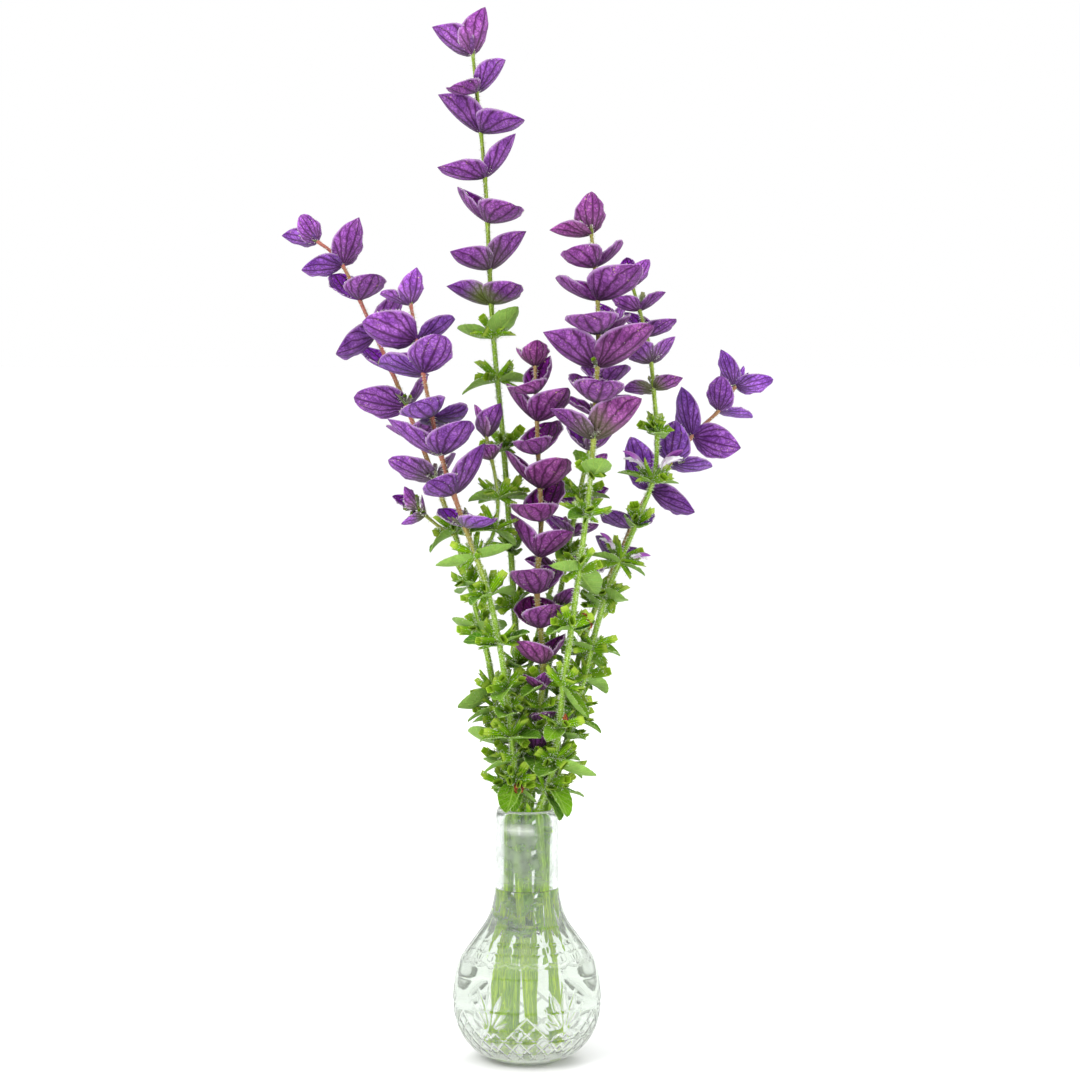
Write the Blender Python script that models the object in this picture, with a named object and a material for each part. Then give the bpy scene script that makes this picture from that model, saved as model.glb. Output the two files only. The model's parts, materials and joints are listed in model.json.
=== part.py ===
"""Bunch of annual clary sage standing in a small cut-glass bud vase with water.

Nine square stalks share the neck of the vase, splay above it and end in spikes of violet
bracts. Below the spikes each stalk carries whorls of green calyces and small floral leaves.
Metres, +Z up, origin at the middle of the vase's foot; -Y faces the viewer.
"""

import math
import random
from collections import namedtuple

import bmesh
import bpy
from mathutils import Matrix, Vector
from mathutils.bvhtree import BVHTree

MM = 0.001

# Vase, as radius and height in mm
VASE_OUTSIDE = [(16.5, 0), (26.5, 5.5), (33, 13.5), (36.3, 23), (37, 33), (35.8, 43), (32.8, 52), (26.2, 61.5),
                (19.8, 71), (16.7, 81), (15.7, 92), (15.5, 122)]
VASE_INSIDE = [(12.8, 122), (12.9, 92), (14, 81), (17, 70.5), (23.5, 60.5), (30, 49.5), (33.2, 35), (32.4, 23),
               (28, 14), (19, 8.5), (13, 7)]
VASE_TOP = 127.0
VASE_LIP_SEGMENTS = 4
VASE_STEPS = 24
WATER_LEVEL = 86.0
WATER_GAP = 0.35

# Stalks
FOOT_HEIGHT = 9.5
FOOT_TWIST = math.radians(50)
FOOT_SPREAD = 1.25
STALK_RADIUS = 1.8
STALK_TIP_RADIUS = 0.8
SIDE_SHOOT_RADIUS = 0.9
STALK_SIDES = 4
STALK_STEP = 25.0
SPLIT_GAP = 0.35
SPLIT_BELOW_BRACTS = 5.0
TIP_ABOVE_BRACTS = 2.5

# Blades, calyces and flowers
BLADE_THICKNESS = 0.7
CLEARANCE = 0.45
ROOT_OVERLAP = 0.3
BRACT_ROWS = (0.26, 0.68)
LEAF_ROWS = (0.46,)
LEAF_WIDTH_SHARE = 0.72
LEAF_LENGTH = 16.5
CALYX_LENGTH = 11.5
CALYX_ROOT_RADIUS = 0.35
CALYX_MOUTH_RADIUS = 2.8
CALYX_SIDES = 3
CALYX_SPREAD = math.radians(36)
FLOWER_RADIUS = 1.1
BUD_LENGTH = 9.0

# What would cross another stalk is bent aside, then lifted, then made smaller
BENDS = [(0, 0, 1), (14, 0, 1), (-14, 0, 1), (0, 14, 1), (0, -14, 1), (28, 6, 0.95), (-28, 6, 0.95), (0, 30, 0.9),
         (0, -30, 0.9), (42, 16, 0.84), (-42, 16, 0.84), (18, 44, 0.78), (-18, 44, 0.78), (60, -14, 0.72),
         (-60, -14, 0.72), (0, 56, 0.62), (80, 20, 0.6), (-80, 20, 0.6)]

SEED = 1477

Stem = namedtuple("Stem", "name route bracts leaves whorls flowers size width fold roll radius parent")
Item = namedtuple("Item", "kind point tangent azimuth length width lift curl fold roll")

# A route runs in mm from the neck of the vase to the tip. A pair of bracts or leaves is its height
# and the two tips' offsets across and up; the rest of a blade's length is depth, alternately nearer
# and farther from one pair to the next. A flower is its height and the offset of its end.
STEMS = [
    Stem("sage_1", [(-1.5, 4, 127), (-5, 5, 205), (-11, 6, 300), (-17, 7, 368), (-20.5, 8, 438), (-26.5, 8, 500)],
         [(499, (-20, 14), (6, 23)), (481, (-13, 1), (14, 16)), (461, (-21, 19), (21, 6)),
          (439, (-23, 5), (15, 22)), (417, (-15, 18), (14, 8)), (394, (-19, 9), (18, 19)),
          (377, (-22, 9), (13, 10))],
         [(361, (-18, 4), (12, 15))], [361, 340, 306, 282, 256, 228, 198, 172, 147], [],
         27, 0.98, 1.0, 30, STALK_RADIUS, None),
    Stem("sage_2", [(-10, 1, 127), (-17, 5, 188), (-24, 8, 220), (-36, 11, 263), (-59, 14, 324), (-75, 16, 361),
                    (-92, 18, 397), (-105, 19, 409)],
         [(408, (-18, 3), (-8, 13)), (396, (-20, -2), (8, 24)), (379, (-14, 13), (8, 13)),
          (361, (-19, -8), (13, 19)), (344, (-16, 12), (15, 8)), (326, (-26, 5), (10, 16)),
          (308, (-18, 8), (13, 14)), (290, (-23, 10), (10, 12))],
         [(214, (-15, 5), (10, 8)), (184, (-18, -6), (12, 6)), (160, (-16, 3), (12, 4))],
         [264, 238, 214, 184, 160, 138], [],
         26, 0.8, 0.7, 45, STALK_RADIUS, None),
    Stem("sage_3", [(-6.5, -7.5, 127), (-7, -12, 160), (-13, -17, 208), (-20, -21, 240), (-31, -25, 272),
                    (-42, -29, 306), (-50, -31, 344), (-56, -32, 378)],
         [(377, (-15, 5), (3, 18)), (360, (-26, 9), (18, 10)), (344, (-22, 3), (9, 19)),
          (323, (-8, 8), (14, -2)), (304, (-26, 18), (13, 18)), (285, (-12, 8), (15, 25)),
          (269, (-12, 8), (14, 5))],
         [(254, (-20, -4), (18, 7)), (141, (-8, -12), (15, -6))], [254, 236, 212, 189, 165, 141], [],
         28, 0.9, 0.85, 40, STALK_RADIUS, None),
    Stem("sage_4", [(0, -2.5, 127), (5, -7, 165), (8, -10, 200), (5, -12, 236), (7, -13, 271), (5.5, -14, 305),
                    (4, -15, 348)],
         [(347, (-9, 9), (1, 13)), (334, (-9, 4), (7, 18)), (320, (-15, 18), (15, 17)),
          (304, (-6, 8), (7, 15)), (287, (-17, 18), (11, 16)), (271, (-9, 10), (9, 20)),
          (253, (-14, 22), (16, 14)), (235, (-7, 14), (7, 12)), (218, (-5, 14), (6, 14)),
          (200, (-12, 13), (11, 14))],
         [], [178, 154], [],
         26, 1.0, 1.0, 25, STALK_RADIUS, None),
    Stem("sage_5", [(5.5, -8.5, 127), (13, -15, 150), (18.5, -21, 195), (25, -27, 245), (31, -32, 296),
                    (34, -35, 348), (34, -36, 380), (31, -36, 411)],
         [(411, (-20, 2), (0, 20)), (395, (-14, 8), (14, 12)), (379, (-20, 11), (20, 17)),
          (363, (-8, 10), (10, 4)), (347, (-26, 17), (27, 20)), (330, (3, 11), (-6, 12)),
          (312, (-21, 15), (23, 20))],
         [(295, (-6, 11), (6, 9)), (248, (-14, 4), (9, -13)), (190, (-12, 8), (12, -14)),
          (152, (-8, -4), (21, -7))], [295, 276, 248, 220, 190, 152], [],
         31, 0.94, 1.0, 30, STALK_RADIUS, None),
    Stem("sage_6", [(10.3, -1, 127), (21, -1, 165), (28, 0, 191), (39, 2, 232), (54, 4, 268), (62.5, 5, 290),
                    (64.5, 6, 308), (63, 7, 333), (60, 8, 358), (52, 8, 387)],
         [(386, (-3, 14), (8, 13)), (374, (-14, 6), (13, 9)), (361, (-10, 12), (14, 9)),
          (348, (-12, 10), (12, 13)), (335, (-14, -1), (14, 6))],
         [], [314, 290, 269, 250, 232, 207, 178, 148],
         [(290, (-13, 17)), (290, (13, 18)), (250, (-8, 16)), (250, (15, 5)), (250, (-13, -4))],
         20, 0.9, 0.9, 35, STALK_RADIUS, None),
    Stem("sage_7", [(8, 6.5, 127), (17, 14, 166), (25, 20, 196), (34, 25, 223), (45, 29, 247), (61, 33, 281),
                    (83.5, 37, 310), (97, 39, 323), (106, 40, 336)],
         [(335, (-7, 19), (19, 4)), (323, (1, 18), (18, -4)), (310, (-5, 25), (24, -5)),
          (297, (2, 22), (22, -3)), (283, (-10, 27), (22, -10)), (264, (-14, 10), (10, 8)),
          (247, (-10, 12), (10, 9))],
         [], [226, 202, 176, 150], [],
         27, 0.66, 0.6, 52, STALK_RADIUS, None),
    Stem("sage_8", [(-6.5, 8, 127), (-4, 18, 165), (4, 29, 205), (18, 40, 250), (33, 48, 290)],
         [(289, (-8, 12), (8, 12)), (275, (-15, 6), (14, 8)), (259, (-9, 10), (9, 9)),
          (241, (-16, 7), (15, 8))],
         [], [218, 182, 147], [],
         22, 0.9, 0.9, -25, STALK_RADIUS, None),
    Stem("sage_9", [(2, 10.3, 127), (7, 18, 165), (14, 25, 215), (25, 31, 275), (38, 36, 330), (44, 38, 365)],
         [(364, (-9, 14), (7, 15)), (350, (-15, 9), (15, 9)), (336, (-9, 12), (10, 11)),
          (320, (-18, 10), (17, 11)), (303, (-11, 12), (11, 12))],
         [], [281, 251, 219, 186, 153], [],
         23, 0.9, 0.9, -25, STALK_RADIUS, None),
    Stem("side_shoot_1", [(-25, -23, 255), (-18, -20.5, 262), (-14.5, -16, 274), (-15, -12, 290), (-20, -9, 313)],
         [(312, (-6, 16), (7, 17)), (301, (-4, 8), (5, 8))],
         [], [283], [], 18, 0.98, 1.0, 20, SIDE_SHOOT_RADIUS, "sage_3"),
    Stem("side_shoot_2", [(-35.5, 11, 262), (-42, 5, 266), (-48, 1, 271), (-54, -1, 277)],
         [(276.5, (-13, 6), (-7, 11)), (273, (-12, -4), (-2, 10))],
         [], [], [], 15, 0.8, 0.8, 40, SIDE_SHOOT_RADIUS, "sage_2"),
]


def spline(points, steps):
    """Points read from a smooth Catmull-Rom curve through the given points."""
    knots = [Vector(point) for point in points]
    ends = [2 * knots[0] - knots[1]] + knots + [2 * knots[-1] - knots[-2]]
    curve = []
    for before, start, end, after in zip(ends, ends[1:], ends[2:], ends[3:]):
        for step in range(steps):
            t = step / steps
            curve.append(0.5 * (2 * start + (end - before) * t
                                + (2 * before - 5 * start + 4 * end - after) * t ** 2
                                + (3 * start - before - 3 * end + after) * t ** 3))
    return curve + [knots[-1]]


def stalk_curve(stem):
    """Finely spaced points along a stalk in mm: straight in the vase, then a smooth curve to the tip."""
    route = [Vector(point) for point in stem.route]
    if stem.parent:
        return spline(route, 12)
    neck = route[0]
    foot = Matrix.Rotation(FOOT_TWIST, 3, "Z") @ neck * FOOT_SPREAD
    foot.z = FOOT_HEIGHT
    return [foot] + spline(route, 12)


def at_height(curve, height):
    """The point of the curve at a height, and its direction there."""
    for low, high in zip(curve, curve[1:]):
        if low.z <= height <= high.z:
            share = (height - low.z) / max(high.z - low.z, 1e-6)
            return low.lerp(high, share), (high - low).normalized()
    return curve[-1].copy(), (curve[-1] - curve[-2]).normalized()


def across(tangent):
    """Two directions square to the tangent, nearest +X and +Y."""
    right = (Vector((1, 0, 0)) - tangent * tangent.x).normalized()
    return right, tangent.cross(right)


def outward_frame(item):
    """Matrix whose X runs across the item, Y outwards and Z along the stalk."""
    right, away = across(item.tangent)
    out = right * math.cos(item.azimuth) + away * math.sin(item.azimuth)
    side = out.cross(item.tangent)
    frame = Matrix((side, out, item.tangent)).transposed().to_4x4()
    frame.translation = item.point
    return frame


def blade_half_width(item, along):
    """Half the blade's width at a share of its length: ovate, widest below the middle."""
    return item.width / 2 * math.sin(math.pi * min(max(along, 0.0), 1.0) ** 0.72) ** 0.8


def blade_point(item, along, sideways):
    """A point of the blade's middle surface in its outward frame, in mm."""
    turned = item.lift + item.curl * along
    reach = item.length * (math.sin(turned) - math.sin(item.lift)) / item.curl
    rise = item.length * (math.cos(item.lift) - math.cos(turned)) / item.curl
    half = blade_half_width(item, along)
    bend = item.fold * sideways
    shift = half * math.sin(bend) / item.fold
    raised = half * (1 - math.cos(bend)) / item.fold
    chord = Vector((0, math.cos(item.lift + item.curl / 2), math.sin(item.lift + item.curl / 2)))
    point = Vector((shift, reach - raised * math.sin(turned), rise + raised * math.cos(turned)))
    return Matrix.Rotation(item.roll, 3, chord) @ point


def blade(item, thickness, start=None):
    """A thin cupped leaf or bract, pointed at both ends, whose root is sunk in the stalk, in mm."""
    root = -ROOT_OVERLAP / item.length if start is None else start
    rows = [root] + [row for row in (BRACT_ROWS if item.kind == "bract" else LEAF_ROWS) if row > root] + [1.0]
    mesh = bmesh.new()
    bmesh.ops.create_grid(mesh, x_segments=2, y_segments=len(rows) - 1, size=0.5)
    ends = ([], [])
    for vert in mesh.verts:
        row = round((vert.co.y + 0.5) * (len(rows) - 1))
        sideways = 2 * vert.co.x
        if row in (0, len(rows) - 1):
            ends[row > 0].append(vert)
            sideways = 0 if start is None or row else sideways
        vert.co = blade_point(item, rows[row], sideways)
    for end in ends:
        bmesh.ops.pointmerge(mesh, verts=end, merge_co=end[1].co)
    bmesh.ops.triangulate(mesh, faces=mesh.faces[:])
    bmesh.ops.recalc_face_normals(mesh, faces=mesh.faces[:])
    mesh.normal_update()
    for vert in mesh.verts:
        vert.co += vert.normal * thickness / 2
    bmesh.ops.solidify(mesh, geom=mesh.faces[:], thickness=thickness)
    bmesh.ops.transform(mesh, matrix=outward_frame(item), verts=mesh.verts[:])
    bmesh.ops.recalc_face_normals(mesh, faces=mesh.faces[:])
    return mesh


def bell(item, swell, start=0.0):
    """A calyx, bud or flower, drawn as a tapered prism from inside the stalk to its mouth, in mm."""
    direction = Vector((0, math.cos(item.lift), math.sin(item.lift)))
    turn = direction.to_track_quat("Z", "X").to_matrix().to_4x4()
    middle = Matrix.Translation(direction * item.length * (1 + start) / 2)
    root = CALYX_ROOT_RADIUS + (item.width / 2 - CALYX_ROOT_RADIUS) * start
    mesh = bmesh.new()
    bmesh.ops.create_cone(mesh, cap_ends=True, segments=CALYX_SIDES, radius1=root + swell,
                          radius2=item.width / 2 + swell, depth=item.length * (1 - start),
                          matrix=outward_frame(item) @ middle @ turn)
    return mesh


def solid_of(item, clearance=0.0, start=None):
    """The item's solid, or a fatter one for testing what it would touch, from a share of its length on."""
    if item.kind in ("bract", "leaf"):
        return blade(item, BLADE_THICKNESS + 2 * clearance, start)
    return bell(item, clearance, start or 0.0)


def tube(points, radii):
    """A square stalk swept through the points by extruding its end ring again and again, in mm."""
    mesh = bmesh.new()
    frames = []
    for index, point in enumerate(points):
        ahead = points[min(index + 1, len(points) - 1)]
        behind = points[max(index - 1, 0)]
        tangent = (ahead - behind).normalized()
        right, away = across(tangent)
        frame = Matrix((right * radii[index], away * radii[index], tangent)).transposed().to_4x4()
        frame.translation = point
        frames.append(frame)
    bmesh.ops.create_circle(mesh, segments=STALK_SIDES, radius=1, matrix=frames[0])
    ring = mesh.edges[:]
    for old, new in zip(frames, frames[1:]):
        grown = bmesh.ops.extrude_edge_only(mesh, edges=ring)["geom"]
        verts = [part for part in grown if isinstance(part, bmesh.types.BMVert)]
        ring = [part for part in grown if isinstance(part, bmesh.types.BMEdge)]
        bmesh.ops.transform(mesh, matrix=new @ old.inverted(), verts=verts)
    bmesh.ops.holes_fill(mesh, edges=mesh.edges[:], sides=STALK_SIDES)
    bmesh.ops.recalc_face_normals(mesh, faces=mesh.faces[:])
    return mesh


def stalk_radius(stem, curve, height):
    """The stalk's radius at a height: thinner towards the tip."""
    share = (height - curve[0].z) / (curve[-1].z - curve[0].z)
    return stem.radius + (min(STALK_TIP_RADIUS, stem.radius) - stem.radius) * share ** 1.5


def tube_between(stem, curve, low, high, swell=0.0):
    """The stretch of a stalk between two heights."""
    heights = [low]
    start = low
    if low < VASE_TOP:
        start = min(high, VASE_TOP)
        heights.append(start)
    count = round((high - start) / STALK_STEP + 0.5)
    heights += [start + (high - start) * step / count for step in range(1, count + 1) if high > start]
    points = [at_height(curve, height)[0] for height in heights]
    return tube(points, [stalk_radius(stem, curve, height) + swell for height in heights])


class Room:
    """Remembers what each node fills, so that what comes later is bent clear of it."""

    def __init__(self):
        self.taken = []

    def take(self, node, mesh, own=None):
        """Books the space of a solid for a node, and for its own node only the part that sticks out."""
        for inside, part in ((False, mesh), (True, own)):
            if part:
                low, high = corners(part)
                self.taken.append((node, inside, low, high, BVHTree.FromBMesh(part)))

    def is_clear(self, node, mesh, inside=False):
        """Whether a solid of this node keeps out of every other node, or out of its own items."""
        low, high = corners(mesh)
        tree = BVHTree.FromBMesh(mesh)
        for other, other_inside, other_low, other_high, other_tree in self.taken:
            if (other == node) != inside or other_inside != inside:
                continue
            apart = any(low[i] > other_high[i] or high[i] < other_low[i] for i in range(3))
            if not apart and tree.overlap(other_tree):
                return False
        return True


def corners(mesh):
    """Lowest and highest corner of a mesh's box."""
    places = [vert.co for vert in mesh.verts]
    low = [min(place[i] for place in places) for i in range(3)]
    high = [max(place[i] for place in places) for i in range(3)]
    return low, high


def aimed(kind, point, tangent, offset, width_share, curl, fold, roll):
    """A blade from the stalk to a tip at the given offset, its nearer wing turned up by the roll."""
    right, away = across(tangent)
    rise = offset.dot(tangent)
    outward = offset - tangent * rise
    azimuth = math.atan2(outward.dot(away), outward.dot(right))
    lift = math.atan2(rise, outward.length) - curl / 2
    length = offset.length * (curl / 2) / math.sin(curl / 2)
    turned = roll * outward.normalized().cross(tangent).y
    return Item(kind, point, tangent, azimuth, length, length * width_share, lift, curl, fold, turned)


def pair_items(kind, stem, curve, pair, nearer, size, width_share, draw):
    """The two blades of a pair, whose seen offsets are completed with depth to their full size."""
    height, *tips = pair
    point, tangent = at_height(curve, height)
    items = []
    for side, (x, z) in enumerate(tips):
        depth = math.sqrt(max(size ** 2 - x ** 2 - z ** 2, 9.0))
        if side != nearer:
            depth = -depth
        curl = math.radians(draw.uniform(20, 46))
        items.append(aimed(kind, point, tangent, Vector((x, depth, z)), width_share * draw.uniform(0.92, 1.12),
                           curl, stem.fold * draw.uniform(0.85, 1.25),
                           math.radians(stem.roll + draw.uniform(-12, 12))))
    return items


def spike_items(stem, curve, draw):
    """The bracts of a spike and the bud at its tip."""
    items = []
    for index, pair in enumerate(stem.bracts):
        from_tip = min(1.0, 0.62 + 0.2 * index)
        from_foot = min(1.0, 0.82 + 0.09 * (len(stem.bracts) - 1 - index))
        items += pair_items("bract", stem, curve, pair, index % 2, stem.size * from_tip * from_foot,
                            stem.width, draw)
    point, tangent = at_height(curve, stem.bracts[0][0])
    items.append(Item("bud", point, tangent, draw.uniform(2, 4), BUD_LENGTH * min(1.0, stem.size / 24), 3.6,
                      math.radians(draw.uniform(62, 80)), 0.1, 0.1, 0))
    return items


def whorl_items(stem, curve, draw):
    """The green part: whorls of calyces, two to a side, each side over a small floral leaf, and flowers."""
    items = []
    for index, pair in enumerate(stem.leaves):
        items += pair_items("leaf", stem, curve, pair, index % 2, LEAF_LENGTH * 1.25, LEAF_WIDTH_SHARE, draw)
    turn = draw.uniform(0, math.pi)
    for index, height in enumerate(stem.whorls):
        point, tangent = at_height(curve, height)
        turn += math.pi / 2 + draw.uniform(-0.3, 0.3)
        young = 0.72 if index == 0 else 1.0
        for half in (0, math.pi):
            length = LEAF_LENGTH * draw.uniform(0.8, 1.2)
            curl = math.radians(draw.uniform(-46, -8))
            leaf = Item("leaf", point - tangent * 1.4, tangent, turn + half, length,
                        length * LEAF_WIDTH_SHARE * draw.uniform(0.9, 1.15),
                        math.radians(draw.uniform(2, 26)), curl, draw.uniform(0.5, 0.9), draw.uniform(-0.4, 0.4))
            if height not in [pair[0] for pair in stem.leaves]:
                items.append(leaf)
            for place in (-1, 1):
                azimuth = turn + half + CALYX_SPREAD * place * draw.uniform(0.8, 1.3)
                items.append(Item("calyx", point + tangent * draw.uniform(-0.6, 0.8), tangent, azimuth,
                                  CALYX_LENGTH * draw.uniform(0.86, 1.12) * young,
                                  2 * CALYX_MOUTH_RADIUS * draw.uniform(0.85, 1.1),
                                  math.radians(draw.uniform(6, 50)), 0.1, 0.1, 0))
    for height, (x, z) in stem.flowers:
        point, tangent = at_height(curve, height)
        flower = aimed("flower", point, tangent, Vector((x, draw.uniform(-5, 2), z)), 0.1, 0.1, 0.1, 0)
        items.append(flower._replace(width=2 * FLOWER_RADIUS))
    return items


def bent_clear(room, node, item):
    """The item as it is, or the first way of bending it that clears the other nodes, or None."""
    for aside, up, share in BENDS:
        tried = item._replace(azimuth=item.azimuth + math.radians(aside), lift=item.lift + math.radians(up),
                              length=item.length * share, width=item.width * share)
        if (room.is_clear(node, solid_of(tried, CLEARANCE))
                and room.is_clear(node, solid_of(tried, 0.15, start=0.42), inside=True)):
            return tried
    return None


def lay_out(room):
    """Places every stalk, then every blade and calyx: node name to its stalks and its items, and the curves."""
    curves = {stem.name: stalk_curve(stem) for stem in STEMS}
    nodes = {}
    for stem in STEMS:
        curve = curves[stem.name]
        split = stem.bracts[-1][0] - SPLIT_BELOW_BRACTS
        top = min(curve[-1].z, stem.bracts[0][0] + TIP_ABOVE_BRACTS)
        lower = (stem.parent or stem.name) + "_stalk"
        upper = stem.name + "_bracts"
        for node, low, high in ((lower, curve[0].z, split - SPLIT_GAP / 2), (upper, split + SPLIT_GAP / 2, top)):
            stretch = tube_between(stem, curve, low, high)
            nodes.setdefault(node, ([], []))[0].append(stretch)
            room.take(node, stretch, own=stretch)
    draw = random.Random(SEED)
    wanted = []
    for stem in STEMS:
        wanted += [(stem.name + "_bracts", item) for item in spike_items(stem, curves[stem.name], draw)]
    for stem in STEMS:
        lower = (stem.parent or stem.name) + "_stalk"
        wanted += [(lower, item) for item in whorl_items(stem, curves[stem.name], draw)]
    for node, item in wanted:
        placed = bent_clear(room, node, item)
        if placed:
            room.take(node, solid_of(placed), own=solid_of(placed, start=0.42))
            nodes[node][1].append(placed)
    return nodes, curves


def material(name, colour, roughness, alpha=1.0):
    """A plain Principled material."""
    made = bpy.data.materials.new(name)
    made.use_nodes = True
    shader = made.node_tree.nodes["Principled BSDF"]
    shader.inputs["Base Color"].default_value = (*colour, 1)
    shader.inputs["Roughness"].default_value = roughness
    shader.inputs["Metallic"].default_value = 0
    shader.inputs["Alpha"].default_value = alpha
    return made


def object_from(name, mesh, surface=None):
    """Links a bmesh drawn in mm as an object in metres."""
    bmesh.ops.transform(mesh, matrix=Matrix.Scale(MM, 4), verts=mesh.verts[:])
    data = bpy.data.meshes.new(name)
    mesh.to_mesh(data)
    mesh.free()
    made = bpy.data.objects.new(name, data)
    bpy.context.scene.collection.objects.link(made)
    if surface:
        data.materials.append(surface)
    return made


def bake(made):
    """Applies an object's modifiers to its mesh."""
    bpy.context.view_layer.update()
    graph = bpy.context.evaluated_depsgraph_get()
    data = bpy.data.meshes.new_from_object(made.evaluated_get(graph))
    made.modifiers.clear()
    made.data = data


def combine(made, others, operation, solver="EXACT"):
    """One Boolean with all the others at once; they are then removed."""
    group = bpy.data.collections.new(made.name + "_operands")
    bpy.context.scene.collection.children.link(group)
    for other in others:
        bpy.context.scene.collection.objects.unlink(other)
        group.objects.link(other)
    step = made.modifiers.new("combine", "BOOLEAN")
    step.operation = operation
    step.operand_type = "COLLECTION"
    step.collection = group
    step.solver = solver
    bake(made)
    for other in others:
        bpy.data.objects.remove(other)
    bpy.data.collections.remove(group)


def turned(outline):
    """A solid of revolution from an outline of radius and height in mm, closed by a flat disc at each end."""
    mesh = bmesh.new()
    verts = [mesh.verts.new((radius, 0, height)) for radius, height in outline]
    edges = [mesh.edges.new(pair) for pair in zip(verts, verts[1:])]
    bmesh.ops.spin(mesh, geom=verts + edges, cent=(0, 0, 0), axis=(0, 0, 1), angle=math.tau,
                   steps=VASE_STEPS, use_merge=True)
    bmesh.ops.remove_doubles(mesh, verts=mesh.verts[:], dist=1e-4)
    bmesh.ops.holes_fill(mesh, edges=mesh.edges[:], sides=VASE_STEPS)
    bmesh.ops.recalc_face_normals(mesh, faces=mesh.faces[:])
    return mesh


def vase_mesh():
    """The turned glass shell: flat foot, round belly, narrow neck and rolled lip."""
    (outer, height), (inner, _) = VASE_OUTSIDE[-1], VASE_INSIDE[0]
    radius = (outer - inner) / 2
    stretch = (VASE_TOP - height) / radius
    lip = []
    for step in range(1, VASE_LIP_SEGMENTS):
        angle = math.pi * step / VASE_LIP_SEGMENTS
        lip.append((outer - radius + radius * math.cos(angle), height + stretch * radius * math.sin(angle)))
    return turned(VASE_OUTSIDE + lip + VASE_INSIDE)


def water_mesh():
    """The water: the inside of the vase up to the water line, a hair smaller than the glass."""
    inside = [(radius, height) for radius, height in reversed(VASE_INSIDE) if height < WATER_LEVEL]
    above = min(point for point in VASE_INSIDE if point[1] > WATER_LEVEL)
    share = (WATER_LEVEL - inside[-1][1]) / (above[1] - inside[-1][1])
    edge = inside[-1][0] + (above[0] - inside[-1][0]) * share
    wall = [(radius - WATER_GAP, height + (WATER_GAP if height < 20 else 0)) for radius, height in inside]
    return turned(wall + [(edge - WATER_GAP, WATER_LEVEL)])


def build():
    """Makes every node."""
    for old in list(bpy.data.objects):
        bpy.data.objects.remove(old)
    green = material("sage_green", (0.19, 0.34, 0.05), 0.65)
    violet = material("bract_violet", (0.16, 0.04, 0.36), 0.6)
    glass = material("cut_glass", (0.86, 0.93, 0.9), 0.05, alpha=0.35)
    clear_water = material("vase_water", (0.8, 0.88, 0.84), 0.05, alpha=0.3)

    room = Room()
    room.take("vase", vase_mesh())
    nodes, curves = lay_out(room)

    vase = object_from("vase", vase_mesh(), glass)
    vase.data.shade_smooth()
    vase.data.set_sharp_from_angle(angle=math.radians(40))

    water = object_from("water", water_mesh(), clear_water)
    holes = []
    for stem in STEMS:
        if stem.parent is None:
            hole = tube_between(stem, curves[stem.name], FOOT_HEIGHT, VASE_TOP, swell=WATER_GAP)
            bottom = [vert for vert in hole.verts if vert.co.z < WATER_LEVEL / 2]
            bmesh.ops.translate(hole, vec=(0, 0, -WATER_GAP), verts=bottom)
            holes.append(object_from(stem.name + "_hole", hole))
    combine(water, holes, "DIFFERENCE")

    for name, (tubes, items) in nodes.items():
        surface = violet if name.endswith("_bracts") else green
        stalk = object_from(name, tubes[0], surface)
        others = [object_from("shoot", mesh) for mesh in tubes[1:]]
        others += [object_from(item.kind, solid_of(item)) for item in items]
        combine(stalk, others, "UNION")
        stalk.data.materials.clear()
        stalk.data.materials.append(surface)


build()
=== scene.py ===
"""Bunch of annual clary sage in a cut-glass bud vase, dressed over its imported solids.

Lengths are in millimetres while a shape is made, and in metres once it is an object. The origin is
the middle of the vase's foot, +Z is up and -Y faces the camera.
"""

import json
import logging
import math
import random
from collections.abc import Callable, Mapping, Sequence
from dataclasses import dataclass, field, replace
from enum import Enum
from typing import Any

import bmesh
import bpy
import numpy as np
from mathutils import Matrix, Vector
from mathutils.bvhtree import BVHTree

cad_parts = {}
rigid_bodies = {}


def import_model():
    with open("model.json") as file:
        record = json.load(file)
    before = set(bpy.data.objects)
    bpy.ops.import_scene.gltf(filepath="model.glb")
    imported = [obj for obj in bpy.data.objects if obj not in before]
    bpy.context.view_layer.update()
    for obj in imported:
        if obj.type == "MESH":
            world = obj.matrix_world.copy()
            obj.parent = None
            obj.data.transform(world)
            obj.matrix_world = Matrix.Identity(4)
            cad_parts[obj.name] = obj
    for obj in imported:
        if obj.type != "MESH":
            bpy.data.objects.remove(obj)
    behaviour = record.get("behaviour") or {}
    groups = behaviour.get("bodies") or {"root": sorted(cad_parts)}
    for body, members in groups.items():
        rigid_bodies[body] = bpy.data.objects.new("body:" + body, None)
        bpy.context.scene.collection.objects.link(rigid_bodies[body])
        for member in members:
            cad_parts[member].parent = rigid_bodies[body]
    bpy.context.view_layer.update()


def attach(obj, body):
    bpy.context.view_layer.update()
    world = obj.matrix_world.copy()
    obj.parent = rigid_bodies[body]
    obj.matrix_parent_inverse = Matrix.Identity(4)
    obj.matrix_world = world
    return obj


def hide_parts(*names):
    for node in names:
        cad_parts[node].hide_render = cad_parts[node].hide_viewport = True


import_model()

LOG = logging.getLogger("sage_bunch")
MM = 0.001
Colour = tuple[float, float, float, float]
Pair = tuple[float, tuple[float, float], tuple[float, float]]
Shape = bmesh.types.BMesh
Place = tuple[float, float, float]
LAYERS = ("place", "tone", "flat")


def shown(*tone: int) -> Colour:
    """Linear colour, with an alpha of 1, of a red, green and blue of 0 to 255 as a screen shows them."""
    red, green, blue = (((value / 255 + 0.055) / 1.055) ** 2.4 for value in tone)
    return (red, green, blue, 1.0)


# Shader maths


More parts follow.
